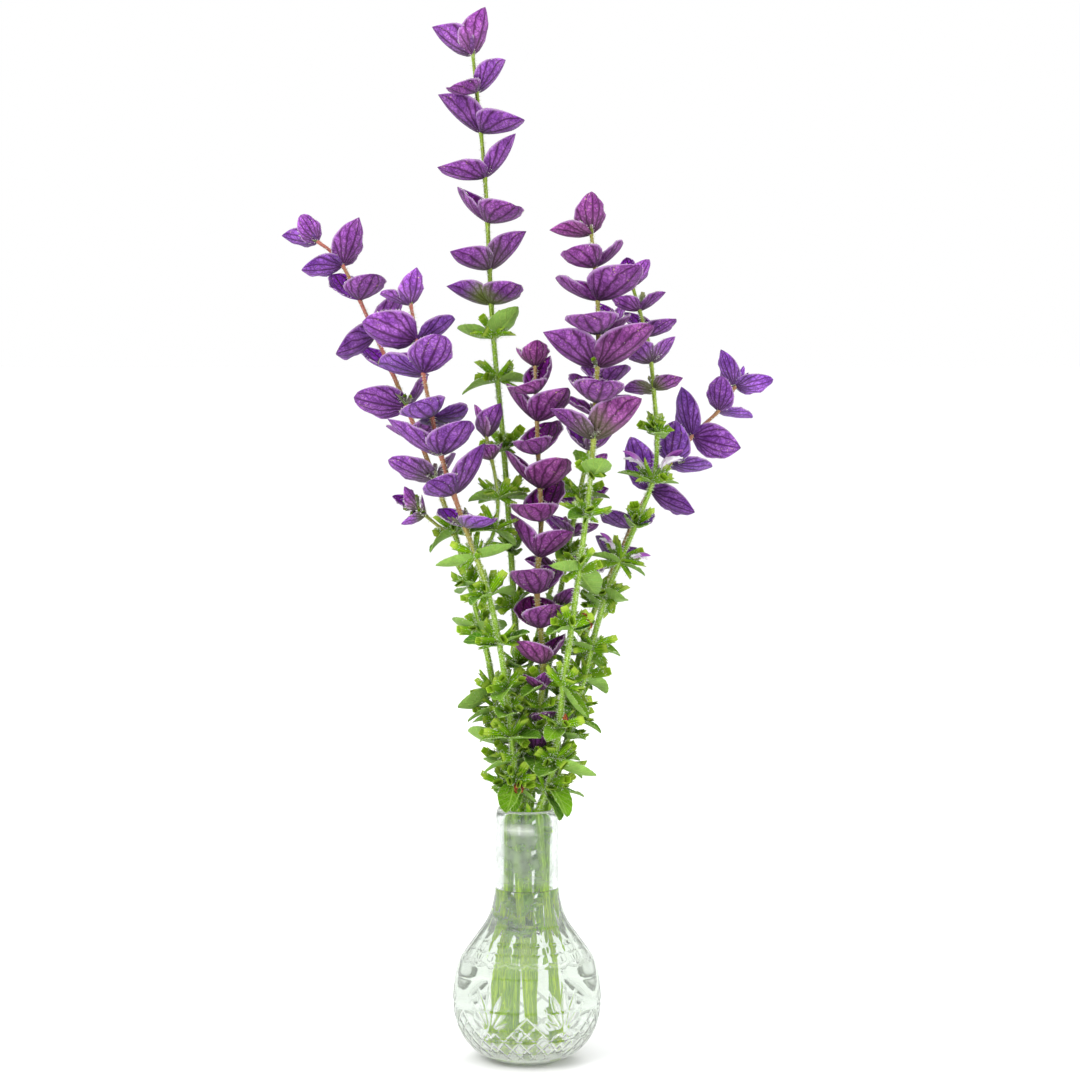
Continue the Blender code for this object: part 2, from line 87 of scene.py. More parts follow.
def operator(operation: str, swapped: bool = False) -> Callable[["Socket", "Socket | float"], "Socket"]:
    """One of Python's operators as the Math node that works it out.

    Args:
        operation: Name of the node's operation.
        swapped: Whether the other operand comes first.

    Returns:
        The method for the operator.
    """
    def work_out(first: "Socket", second: "Socket | float") -> "Socket":
        """The operation's result."""
        return first.maths(operation, second, first) if swapped else first.maths(operation, first, second)
    return work_out


class Socket:
    """An output of a shader node; Python's operators on it add the nodes that work them out."""

    def __init__(self, recipe: "Recipe", socket: bpy.types.NodeSocket) -> None:
        """Wraps one output of a node in a recipe."""
        self.recipe = recipe
        self.socket = socket

    def maths(self, operation: str, *values: "Socket | float") -> "Socket":
        """The result of one Math node with the given operation and operands."""
        return self.recipe.node("ShaderNodeMath", {"operation": operation}, dict(enumerate(values)))

    __add__ = __radd__ = operator("ADD")
    __mul__ = __rmul__ = operator("MULTIPLY")
    __sub__ = operator("SUBTRACT")
    __rsub__ = operator("SUBTRACT", swapped=True)
    __truediv__ = operator("DIVIDE")

    def __abs__(self) -> "Socket":
        """Size without sign."""
        return self.maths("ABSOLUTE", self)

    def most(self, other: "Socket | float") -> "Socket":
        """The larger of two values."""
        return self.maths("MAXIMUM", self, other)

    def to_nearest_line(self) -> "Socket":
        """Distance to the nearest whole number, from 0 to 0.5."""
        return self.maths("PINGPONG", self, 0.5)

    def ramp(self, low: float, high: float, start: float = 0.0, end: float = 1.0) -> "Socket":
        """Smooth step between two values.

        Args:
            low: Value at which the step starts.
            high: Value at which it ends; below low for a falling step.
            start: Result up to low.
            end: Result from high on.

        Returns:
            The stepped value.
        """
        if low > high:
            low, high, start, end = high, low, end, start
        return self.recipe.node("ShaderNodeMapRange", {"interpolation_type": "SMOOTHSTEP"},
                                {0: self, 1: low, 2: high, 3: start, 4: end})

    def parts(self) -> tuple["Socket", "Socket", "Socket"]:
        """The three components of a vector."""
        first = self.recipe.node("ShaderNodeSeparateXYZ", {}, {0: self})
        outputs = first.socket.node.outputs
        return first, Socket(self.recipe, outputs[1]), Socket(self.recipe, outputs[2])


class Recipe:
    """The nodes of one material, worked out from its plain colour and roughness."""

    def __init__(self, name: str, colour: Colour, roughness: float, **uniform: float | Colour) -> None:
        """Starts a material.

        Args:
            name: Its name.
            colour: Its plain colour.
            roughness: Its plain roughness.
            uniform: Other sockets of the shader, with underscores for spaces, all one value.
        """
        self.material = bpy.data.materials.new(name)
        self.material.use_nodes = True
        self.tree = self.material.node_tree
        self.shader = self.tree.nodes["Principled BSDF"]
        self.feed("Base Color", colour)
        self.feed("Roughness", roughness)
        for socket, value in uniform.items():
            self.feed(socket.replace("_", " "), value)

    def node(self, kind: str, settings: Mapping[str, Any], values: Mapping[Any, Any],
             output: int | str = 0) -> Socket:
        """Adds any node.

        Args:
            kind: Its type.
            settings: Its properties, set first.
            values: Values or links of its sockets.
            output: The output that is wanted.

        Returns:
            That output.
        """
        made = self.tree.nodes.new(kind)
        for name, value in settings.items():
            setattr(made, name, value)
        for name, value in values.items():
            self.connect(made.inputs[name], value)
        return Socket(self, made.outputs[output])

    def connect(self, target: bpy.types.NodeSocket, value: Any) -> None:
        """Links a socket to another, or sets its value."""
        if isinstance(value, Socket):
            self.tree.links.new(value.socket, target)
        else:
            target.default_value = value

    def feed(self, name: str, value: Any) -> None:
        """Links or sets one socket of the material's shader."""
        self.connect(self.shader.inputs[name], value)

    def attribute(self, name: str) -> Socket:
        """A vector that the mesh carries at its vertices."""
        return self.node("ShaderNodeAttribute", {"attribute_name": name}, {}, "Vector")

    def carried(self) -> tuple[tuple[Socket, ...], tuple[Socket, ...], Socket]:
        """What a plant's mesh carries: the parts of its place, the parts of its tone, and its flat place."""
        place, tone, flat = (self.attribute(name) for name in LAYERS)
        return place.parts(), tone.parts(), flat

    def place(self) -> Socket:
        """The point in the object's own coordinates, in metres."""
        return self.node("ShaderNodeTexCoord", {}, {}, "Object")

    def vectors(self, operation: str, first: Socket, second: Any) -> Socket:
        """Adds one Vector Math node on two vectors."""
        return self.node("ShaderNodeVectorMath", {"operation": operation}, {0: first, 1: second})

    def mix(self, share: Socket | float, first: Any, second: Any, blend: str = "MIX") -> Socket:
        """Mixes a share of the second colour into the first, in the given way."""
        settings = {"data_type": "RGBA", "blend_type": blend}
        return self.node("ShaderNodeMix", settings, {0: share, 6: first, 7: second}, 2)

    def dimmed(self, colour: Socket, light: Socket) -> Socket:
        """A colour times a brightness."""
        grey = self.node("ShaderNodeCombineXYZ", {}, {0: light, 1: light, 2: light})
        return self.mix(1.0, colour, grey, "MULTIPLY")

    def grain(self, where: Socket, scale: float, detail: float = 2.0, output: str = "Fac") -> Socket:
        """Noise about 0.5 over coordinates: "Fac" for a value, "Color" for a vector."""
        values = {"Vector": where, "Scale": scale, "Detail": detail}
        return self.node("ShaderNodeTexNoise", {}, values, output)

    def mesh_lines(self, where: Socket, scale: float) -> Socket:
        """Distance to the borders of irregular cells, in cells."""
        values = {"Vector": where, "Scale": scale}
        return self.node("ShaderNodeTexVoronoi", {"feature": "DISTANCE_TO_EDGE"}, values)

    def cover(self, share: Socket, colour: Colour, roughness: float) -> None:
        """Covers a share of the material's shader with a second, plain one."""
        plain = self.node("ShaderNodeBsdfPrincipled", {}, {"Base Color": colour, "Roughness": roughness})
        main = Socket(self, self.shader.outputs[0])
        both = self.node("ShaderNodeMixShader", {}, {0: share, 1: main, 2: plain})
        self.connect(self.tree.nodes["Material Output"].inputs["Surface"], both)

    def raise_by(self, height: Socket, depth: float, strength: float = 1.0) -> None:
        """Feeds a height of 0 to 1 to the normal as a bump of the given depth in mm."""
        values = {"Height": height, "Distance": depth * MM, "Strength": strength}
        self.feed("Normal", self.node("ShaderNodeBump", {}, values))

    def finished(self, colour: Socket, roughness: Socket, height: Socket, depth: float,
                 strength: float = 1.0) -> bpy.types.Material:
        """Feeds what varies over the surface and hands the material out.

        Args:
            colour: Its colour.
            roughness: Its roughness.
            height: Height of its bump, 0 to 1.
            depth: Depth of its bump in mm.
            strength: Strength of its bump.

        Returns:
            The material.
        """
        self.feed("Base Color", colour)
        self.feed("Roughness", roughness)
        self.raise_by(height, depth, strength)
        return self.material


# Finishes


@dataclass(frozen=True)
class BractSkin:
    """Violet bract: dark branching veins, a saturated inside, a lilac outside, a pale edge, and painted shade
    towards its base.
    """

    bluish: Colour = shown(100, 30, 162)
    reddish: Colour = shown(138, 32, 128)
    bluish_back: Colour = shown(160, 108, 196)
    reddish_back: Colour = shown(176, 106, 168)
    vein: Colour = shown(50, 0, 40)
    green: Colour = shown(118, 142, 30)
    edge: Colour = shown(196, 158, 208)
    spot: Colour = shown(206, 186, 112)

    def material(self) -> bpy.types.Material:
        """The finished material."""
        made = Recipe("bract_skin", self.bluish, 0.6, Sheen_Weight=0.04, Specular_IOR_Level=0.14)
        (aside, along, side), (hue, greenness, light), flat = made.carried()
        patches = made.grain(flat, 0.16, 3)
        waver = made.vectors("SUBTRACT", made.grain(flat, 0.34, 2, "Color"), (0.5, 0.5, 0.5))
        net_at = made.vectors("ADD", flat, made.vectors("MULTIPLY", waver, (3.2, 3.2, 0)))
        shift, drift, _ = waver.parts()
        spread = along * 0.95 + 0.13
        fan = (abs(aside) + shift * 0.22) / spread
        off_vein = (fan / 0.62).to_nearest_line() * spread * 0.62
        main = off_vein.ramp(0.1, 0.015) * fan.ramp(2.6, 1.8)
        branch = (along * 4.6 - abs(aside) * 1.7 + drift * 0.9).to_nearest_line().ramp(0.13, 0.02)
        midrib = abs(aside + shift * 0.05).ramp(0.11, 0.02)
        net = made.mesh_lines(net_at, 0.5).ramp(0.17, 0.03)
        veins = main.most(net * 0.6).most(midrib).most(branch * 0.7)
        inside = side.ramp(-0.5, 0.5)
        violet = made.mix(hue, self.bluish, self.reddish)
        back = made.mix(hue, self.bluish_back, self.reddish_back)
        outer = made.mix((patches * 1.2).ramp(0.2, 0.9, 0.2, 0.65), violet, back)
        skin = made.mix(inside, outer, violet)
        veined = made.mix(veins * inside.ramp(0, 1, 0.82, 0.97), skin, self.vein)
        leafy = greenness * (along + patches * 0.5).ramp(0.95, 0.35) * inside.ramp(0, 1, 1.0, 0.7)
        mixed = made.mix(leafy, veined, made.mix(veins * 0.45, self.green, self.vein))
        spots = made.grain(flat, 1.3, 1).ramp(0.68, 0.73) * along.ramp(0.35, 0.8) * patches.ramp(0.4, 0.6)
        mixed = made.mix(spots * 0.75, mixed, self.spot)
        # Painted shade: darker towards the base, where the bract meets the stalk; light also carries painted
        # light for any sprout sunk in the vase, and the patches vary the tone at random
        lit = made.dimmed(mixed, light * (patches * 1.1 + 0.45) * along.ramp(0.0, 0.45, 0.66, 1.0))
        colour = made.mix(abs(aside).ramp(0.88, 1.0) * along.ramp(0.06, 0.2) * 0.7, lit, self.edge)
        domes = made.mesh_lines(net_at, 0.46).ramp(0.0, 0.5) * 0.5
        height = 1 - veins * side.ramp(-0.5, 0.5, -0.6, 1.0) + domes
        return made.finished(colour, patches * 0.25 + 0.45, height, 0.3)


@dataclass(frozen=True)
class LeafSkin:
    """Floral leaf: mid green above with sunken veins, pale and downy below."""

    above: Colour = shown(58, 116, 0)
    young: Colour = shown(112, 160, 0)
    below: Colour = shown(126, 166, 72)
    vein: Colour = shown(158, 190, 84)

    def material(self) -> bpy.types.Material:
        """The finished material."""
        made = Recipe("leaf_skin", self.above, 0.6, Sheen_Weight=0.03, Specular_IOR_Level=0.16)
        (aside, along, side), (fresh, _, light), flat = made.carried()
        patches = made.grain(flat, 0.2, 3)
        inside = side.ramp(-0.5, 0.5)
        lateral = (along * 5.5 - abs(aside) * 1.9 + patches * 0.3).to_nearest_line().ramp(0.14, 0.02)
        net = made.mesh_lines(flat, 0.6).ramp(0.12, 0.02)
        veins = lateral.most(abs(aside).ramp(0.12, 0.02)).most(net * 0.5)
        skin = made.mix(inside, self.below, made.mix(fresh, self.above, self.young))
        veined = made.mix(veins * 0.55, skin, self.vein)
        # light carries painted light: it is raised for leaves sunk in the vase, where the glass keeps the
        # lamps off; the patches vary the tone at random
        lit = made.dimmed(veined, light * (patches * 0.7 + 0.65))
        colour = made.mix(abs(aside).ramp(0.93, 1.0) * 0.4, lit, self.vein)
        height = 1 - veins * side.ramp(-0.5, 0.5, -0.7, 1.0)
        return made.finished(colour, patches * 0.25 + 0.42, height, 0.42)


@dataclass(frozen=True)
class CalyxSkin:
    """Ribbed calyx: pale at the foot, fresh green ribs, pale tips, some flushed with purple."""

    foot: Colour = shown(152, 186, 58)
    body: Colour = shown(126, 172, 0)
    groove: Colour = shown(84, 134, 0)
    tip: Colour = shown(160, 188, 62)
    flush: Colour = shown(124, 60, 132)
    hollow: Colour = shown(116, 156, 12)

    def material(self) -> bpy.types.Material:
        """The finished material."""
        made = Recipe("calyx_skin", self.body, 0.6, Sheen_Weight=0.03, Specular_IOR_Level=0.16)
        (around, along, side), (purple, _, light), flat = made.carried()
        patches = made.grain(flat, 0.35, 3)
        ribs = (around * 10).to_nearest_line().ramp(0.42, 0.12)
        skin = made.mix(ribs, self.groove, self.body)
        skin = made.mix(along.ramp(0.35, 0.0), skin, self.foot)
        skin = made.mix(along.ramp(0.7, 0.98), skin, self.tip)
        skin = made.mix(purple * (along + patches * 0.4).ramp(0.2, 0.9), skin, self.flush)
        skin = made.mix(side.ramp(0.5, -0.5), skin, self.hollow)
        # light carries painted light: it is raised for calyces sunk in the vase, where the glass keeps the
        # lamps off; the patches vary the tone at random
        lit = made.dimmed(skin, light * (patches * 0.6 + 0.7))
        return made.finished(lit, patches * 0.2 + 0.5, ribs + made.grain(flat, 2.2, 2) * 0.4, 0.25)


@dataclass(frozen=True)
class StalkSkin:
    """Square stalk: light green with fine grooves and speckle, flushed with red towards some tips; yellower in
    the water, and brighter there and below the rim with painted light where the glass keeps the lamps off.
    """

    green: Colour = shown(164, 196, 84)
    dark: Colour = shown(112, 152, 28)
    # Soaked colours, below the water line: yellower as stalks look in water, and brighter as painted light for
    # the lamps that the glass keeps off
    soaked_and_lit: Colour = shown(200, 230, 0)
    soaked_dark_and_lit: Colour = shown(134, 178, 0)
    red: Colour = shown(178, 94, 96)

    def material(self) -> bpy.types.Material:
        """The finished material."""
        made = Recipe("stalk_skin", self.green, 0.5, Sheen_Weight=0.03, Specular_IOR_Level=0.18)
        (around, *_), (flush, wet_and_lit, light), flat = made.carried()
        lengthwise = made.vectors("MULTIPLY", flat, (1.6, 0.12, 1.0))
        streaks = made.grain(lengthwise, 1.6, 3)
        patches = made.grain(flat, 0.08, 3)
        ridge = (around * 4).to_nearest_line().ramp(0.4, 0.1)
        pale = streaks.ramp(0.36, 0.6) * (ridge * 0.65 + 0.35)
        skin = made.mix(pale, self.dark, self.green)
        skin = made.mix(wet_and_lit, skin, made.mix(pale, self.soaked_dark_and_lit, self.soaked_and_lit))
        skin = made.mix(flush * (patches + streaks * 0.4).ramp(0.45, 0.75, 0.55, 1.0), skin, self.red)
        # light carries painted light: it is raised below the rim of the vase; the patches vary the tone at
        # random
        lit = made.dimmed(skin, light * (patches * 0.5 + 0.75))
        height = streaks + (around * 8).to_nearest_line() * 0.6
        return made.finished(lit, streaks * 0.2 + 0.42, height, 0.2)


@dataclass(frozen=True)
class PetalSkin:
    """Small flower: white lip and lilac hood with fine lengthwise lines."""

    white: Colour = shown(252, 250, 255)
    lilac: Colour = shown(158, 72, 176)
    line: Colour = shown(122, 44, 140)

    def material(self) -> bpy.types.Material:
        """The finished material."""
        made = Recipe("petal_skin", self.white, 0.5, Sheen_Weight=0.1)
        (aside, along, _), (tint, _, light), flat = made.carried()
        lines = (aside * 4 + made.grain(flat, 0.6) * 0.5).to_nearest_line().ramp(0.12, 0.02)
        petal = made.mix(tint * along.ramp(-0.2, 0.7), self.white, self.lilac)
        lined = made.mix(lines * (tint * 0.5 + 0.12), petal, self.line)
        return made.finished(lined, light * 0.45, 1 - lines, 0.12)


@dataclass(frozen=True)
class WitheredSkin:
    """Withered flower: curled, papery and orange brown."""

    brown: Colour = shown(84, 34, 16)
    orange: Colour = shown(190, 98, 34)

    def material(self) -> bpy.types.Material:
        """The finished material."""
        made = Recipe("withered_skin", self.brown, 0.75)
        crumple = made.grain(made.attribute("flat"), 0.9, 4)
        colour = made.mix(crumple.ramp(0.42, 0.72), self.brown, self.orange)
        return made.finished(colour, crumple * 0.3 + 0.6, crumple, 0.4)


@dataclass(frozen=True)
class DownSkin:
    """Fine white hairs."""

    white: Colour = shown(250, 252, 240)
    dull: Colour = shown(226, 238, 202)

    def material(self) -> bpy.types.Material:
        """The finished material."""
        made = Recipe("down_skin", self.white, 0.5, Specular_IOR_Level=0.5)
        share = made.grain(made.place(), 160.0, 1).ramp(0.4, 0.6)
        made.feed("Base Color", made.mix(share, self.dull, self.white))
        return made.material


@dataclass(frozen=True)
class Cutting:
    """The crossed cuts low on the vase, in mm, which its shape and its finish share.

    They fill a field between each two fans of rays, and the field's upper edge falls from an apex.
    """

    sectors: int = 6
    widest: float = 37.0
    apex: float = 28.5
    lowest: float = 19.5
    pitch: float = 6.0


CUTTING = Cutting()


@dataclass(frozen=True)
class CutGlassFinish:
    """Clear pressed glass: a faint green-grey tint, milky cuts, and mist on the inner wall over the water."""

    tint: Colour = (0.95, 0.978, 0.955, 1.0)
    belly: Colour = (0.915, 0.945, 0.91, 1.0)
    base: Colour = (0.972, 0.985, 0.97, 1.0)
    satin: Colour = (0.985, 0.995, 0.985, 1.0)
    ground: Colour = (0.9, 0.93, 0.88, 1.0)
    half_line: float = 0.8

    def crossed_cuts(self, x: Socket, y: Socket, height: Socket) -> Socket:
        """The lines that cross low on the belly, as a share of their depth.

        Args:
            x: Place across, in metres.
            y: Place in depth, in metres.
            height: Height in mm.

        Returns:
            The share, 1 in the middle of a line.
        """
        turned = x.maths("ARCTAN2", x, y * -1) * (CUTTING.sectors / math.tau)
        aside = turned.to_nearest_line() * (math.tau / CUTTING.sectors * CUTTING.widest)
        reach = CUTTING.pitch * math.sqrt(2)
        share = self.half_line / CUTTING.pitch
        rising = ((aside + height - CUTTING.apex) / reach).to_nearest_line().ramp(share, 0.0)
        falling = ((aside - height + CUTTING.apex) / reach).to_nearest_line().ramp(share, 0.0)
        field_top = (CUTTING.apex - aside).most(CUTTING.lowest)
        return rising.most(falling) * (field_top - height).ramp(-0.9, -0.3) * height.ramp(5.0, 8.0)

    def material(self) -> bpy.types.Material:
        """The finished material."""
        made = Recipe("cut_glass_clear", self.tint, 0.01, Transmission_Weight=1.0, IOR=1.5)
        where = made.place()
        x, y, z = where.parts()
        cut, outer, _ = made.attribute("cut").parts()
        lines = self.crossed_cuts(x, y, z / MM) * outer
        satin = lines.most(cut * 0.8)
        neck = z.ramp(0.087, 0.092) * z.ramp(0.125, 0.119)
        mist = neck * (1 - outer) * made.grain(where, 90.0, 3).ramp(0.3, 0.6)
        haze = made.grain(where, 60.0, 3).ramp(0.45, 0.75)
        roughness = haze * 0.03 + satin * 0.22 + mist * 0.14 + 0.004
        clear = made.mix(z.ramp(0.022, 0.03) * z.ramp(0.075, 0.06), self.tint, self.belly)
        clear = made.mix(z.ramp(0.024, 0.014), clear, self.base)
        colour = made.mix(satin, clear, self.satin)
        rim = z.ramp(0.1252, 0.1266) * 0.3
        veil = outer * (z.ramp(0.09, 0.08) * 0.08 + z.ramp(0.022, 0.012) * 0.16)
        made.cover((satin * 0.55).most(mist * 0.4).most(rim).most(veil), self.ground, 0.5)
        waves = made.grain(where, 45.0, 1)
        return made.finished(colour, roughness, 1 - lines + waves * 0.5, 0.25, 0.9)


@dataclass(frozen=True)
class WaterFinish:
    """Clear water, very slightly green from the stalks, with faint drifting threads."""

    tint: Colour = (0.985, 0.995, 0.97, 1.0)

    def material(self) -> bpy.types.Material:
        """The finished material."""
        made = Recipe("vase_water_clear", self.tint, 0.0, Transmission_Weight=1.0, IOR=1.33)
        made.raise_by(made.grain(made.place(), 30.0, 1), 0.08, 0.4)
        return made.material


@dataclass(frozen=True)
class FloorFinish:
    """Matt white studio floor with a barely visible tooth."""

    white: Colour = (0.93, 0.93, 0.93, 1.0)
    dull: Colour = (0.91, 0.91, 0.91, 1.0)

    def material(self) -> bpy.types.Material:
        """The finished material."""
        made = Recipe("studio_floor", self.white, 0.9, Specular_IOR_Level=0.1)
        tooth = made.grain(made.place(), 900.0, 2)
        made.feed("Base Color", made.mix(tooth, self.white, self.dull))
        return made.material


class Skin(Enum):
    """The finishes of the plants, in the order of their material slots."""

    STALK = StalkSkin
    CALYX = CalyxSkin
    LEAF = LeafSkin
    BRACT = BractSkin
    PETAL = PetalSkin
    WITHERED = WitheredSkin

    @property
    def index(self) -> int:
        """Number of the finish's material slot."""
        return list(Skin).index(self)


# The arrangement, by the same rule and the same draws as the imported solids


class Kind(Enum):
    """What grows from a stalk."""

    BRACT = "bract"
    LEAF = "leaf"
    CALYX = "calyx"
    BUD = "bud"
    FLOWER = "flower"


@dataclass(frozen=True)
class Sizes:
    """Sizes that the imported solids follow, in mm and radians."""

    vase_top: float = 127.0
    foot_height: float = 9.5
    foot_twist: float = math.radians(50)
    foot_spread: float = 1.25
    stalk_radius: float = 1.8
    stalk_tip_radius: float = 0.8
    side_shoot_radius: float = 0.9
    stalk_sides: int = 4
    stalk_step: float = 25.0
    split_gap: float = 0.35
    split_below_bracts: float = 5.0
    tip_above_bracts: float = 2.5
    blade_thickness: float = 0.7
    clearance: float = 0.45
    root_overlap: float = 0.3
    bract_rows: tuple[float, ...] = (0.26, 0.68)
    leaf_rows: tuple[float, ...] = (0.46,)
    leaf_width_share: float = 0.72
    leaf_length: float = 16.5
    calyx_length: float = 11.5
    calyx_root_radius: float = 0.35
    calyx_mouth_radius: float = 2.8
    calyx_sides: int = 3
    calyx_spread: float = math.radians(36)
    flower_radius: float = 1.1
    bud_length: float = 9.0
    bud_width: float = 3.6
    leaf_drop: float = 1.4
    free_from: float = 0.42
    seed: int = 1477


SIZES = Sizes()

# Ways of bending a sprout: turned aside, turned up and scaled, in the order in which they are tried
BENDS = [(0, 0, 1), (14, 0, 1), (-14, 0, 1), (0, 14, 1), (0, -14, 1), (28, 6, 0.95), (-28, 6, 0.95),
         (0, 30, 0.9), (0, -30, 0.9), (42, 16, 0.84), (-42, 16, 0.84), (18, 44, 0.78), (-18, 44, 0.78),
         (60, -14, 0.72), (-60, -14, 0.72), (0, 56, 0.62), (80, 20, 0.6), (-80, 20, 0.6)]
EXTRA_BENDS = [(0, 0, 1), (16, 6, 0.94), (-16, 6, 0.94), (0, 22, 0.9), (0, -20, 0.9), (34, 16, 0.84),
               (-34, 16, 0.84), (30, -20, 0.8), (-30, -20, 0.8), (0, 44, 0.7), (55, 10, 0.7), (-55, 10, 0.7)]


def spline(points: Sequence[Vector], steps: int) -> list[Vector]:
    """Points read from a smooth Catmull-Rom curve.

    Args:
        points: Points that the curve goes through.
        steps: How many are read between two of them.

    Returns:
        The finer points.
    """
    knots = [Vector(point) for point in points]
    ends = [2 * knots[0] - knots[1]] + knots + [2 * knots[-1] - knots[-2]]
    curve = []
    for before, start, end, after in zip(ends, ends[1:], ends[2:], ends[3:]):
        for step in range(steps):
            t = step / steps
            curve.append(0.5 * (2 * start + (end - before) * t
                                + (2 * before - 5 * start + 4 * end - after) * t ** 2
                                + (3 * start - before - 3 * end + after) * t ** 3))
    return curve + [knots[-1]]


def across(tangent: Vector) -> tuple[Vector, Vector]:
    """Two directions square to a tangent, nearest +X and +Y."""
    right = (Vector((1, 0, 0)) - tangent * tangent.x).normalized()
    return right, tangent.cross(right)


def step_up(low: float, high: float, value: float) -> float:
    """Smooth step from 0 at low to 1 at high."""
    share = min(max((value - low) / (high - low), 0.0), 1.0)
    return share * share * (3 - 2 * share)


@dataclass(frozen=True)
class Stem:
    """One sage stalk: its route in mm from the neck of the vase, and where its pairs and whorls grow.

    A pair of bracts or leaves is its height and the two tips' offsets across and up; the rest of a
    blade's length is depth, alternately nearer and farther from one pair to the next.
    """

    name: str
    route: list[Place]
    bracts: list[Pair]
    leaves: list[Pair]
    whorls: list[float]
    flowers: list[tuple[float, tuple[float, float]]]
    size: float
    width: float
    fold: float
    roll: float
    radius: float = SIZES.stalk_radius
    parent: str | None = None
    hue: float = 0.4
    flush: float = 0.2
    greenness: float = 0.3

    @property
    def lower(self) -> str:
        """Name of the node of its green part."""
        return (self.parent or self.name) + "_stalk"

    @property
    def upper(self) -> str:
        """Name of the node of its bracts."""
        return self.name + "_bracts"

    def curve(self) -> list[Vector]:
        """Finely spaced points along the stalk: straight in the vase, then a smooth curve to the tip."""
        route = [Vector(point) for point in self.route]
        if self.parent:
            return spline(route, 12)
        foot = Matrix.Rotation(SIZES.foot_twist, 3, "Z") @ route[0] * SIZES.foot_spread
        foot.z = SIZES.foot_height
        return [foot] + spline(route, 12)

    def radius_at(self, curve: Sequence[Vector], height: float) -> float:
        """The stalk's radius at a height: thinner towards the tip."""
        share = (height - curve[0].z) / (curve[-1].z - curve[0].z)
        return self.radius + (min(SIZES.stalk_tip_radius, self.radius) - self.radius) * share ** 1.5

    def top(self, curve: Sequence[Vector]) -> float:
        """Height at which the stalk ends, just above its highest bracts."""
        return min(curve[-1].z, self.bracts[0][0] + SIZES.tip_above_bracts)


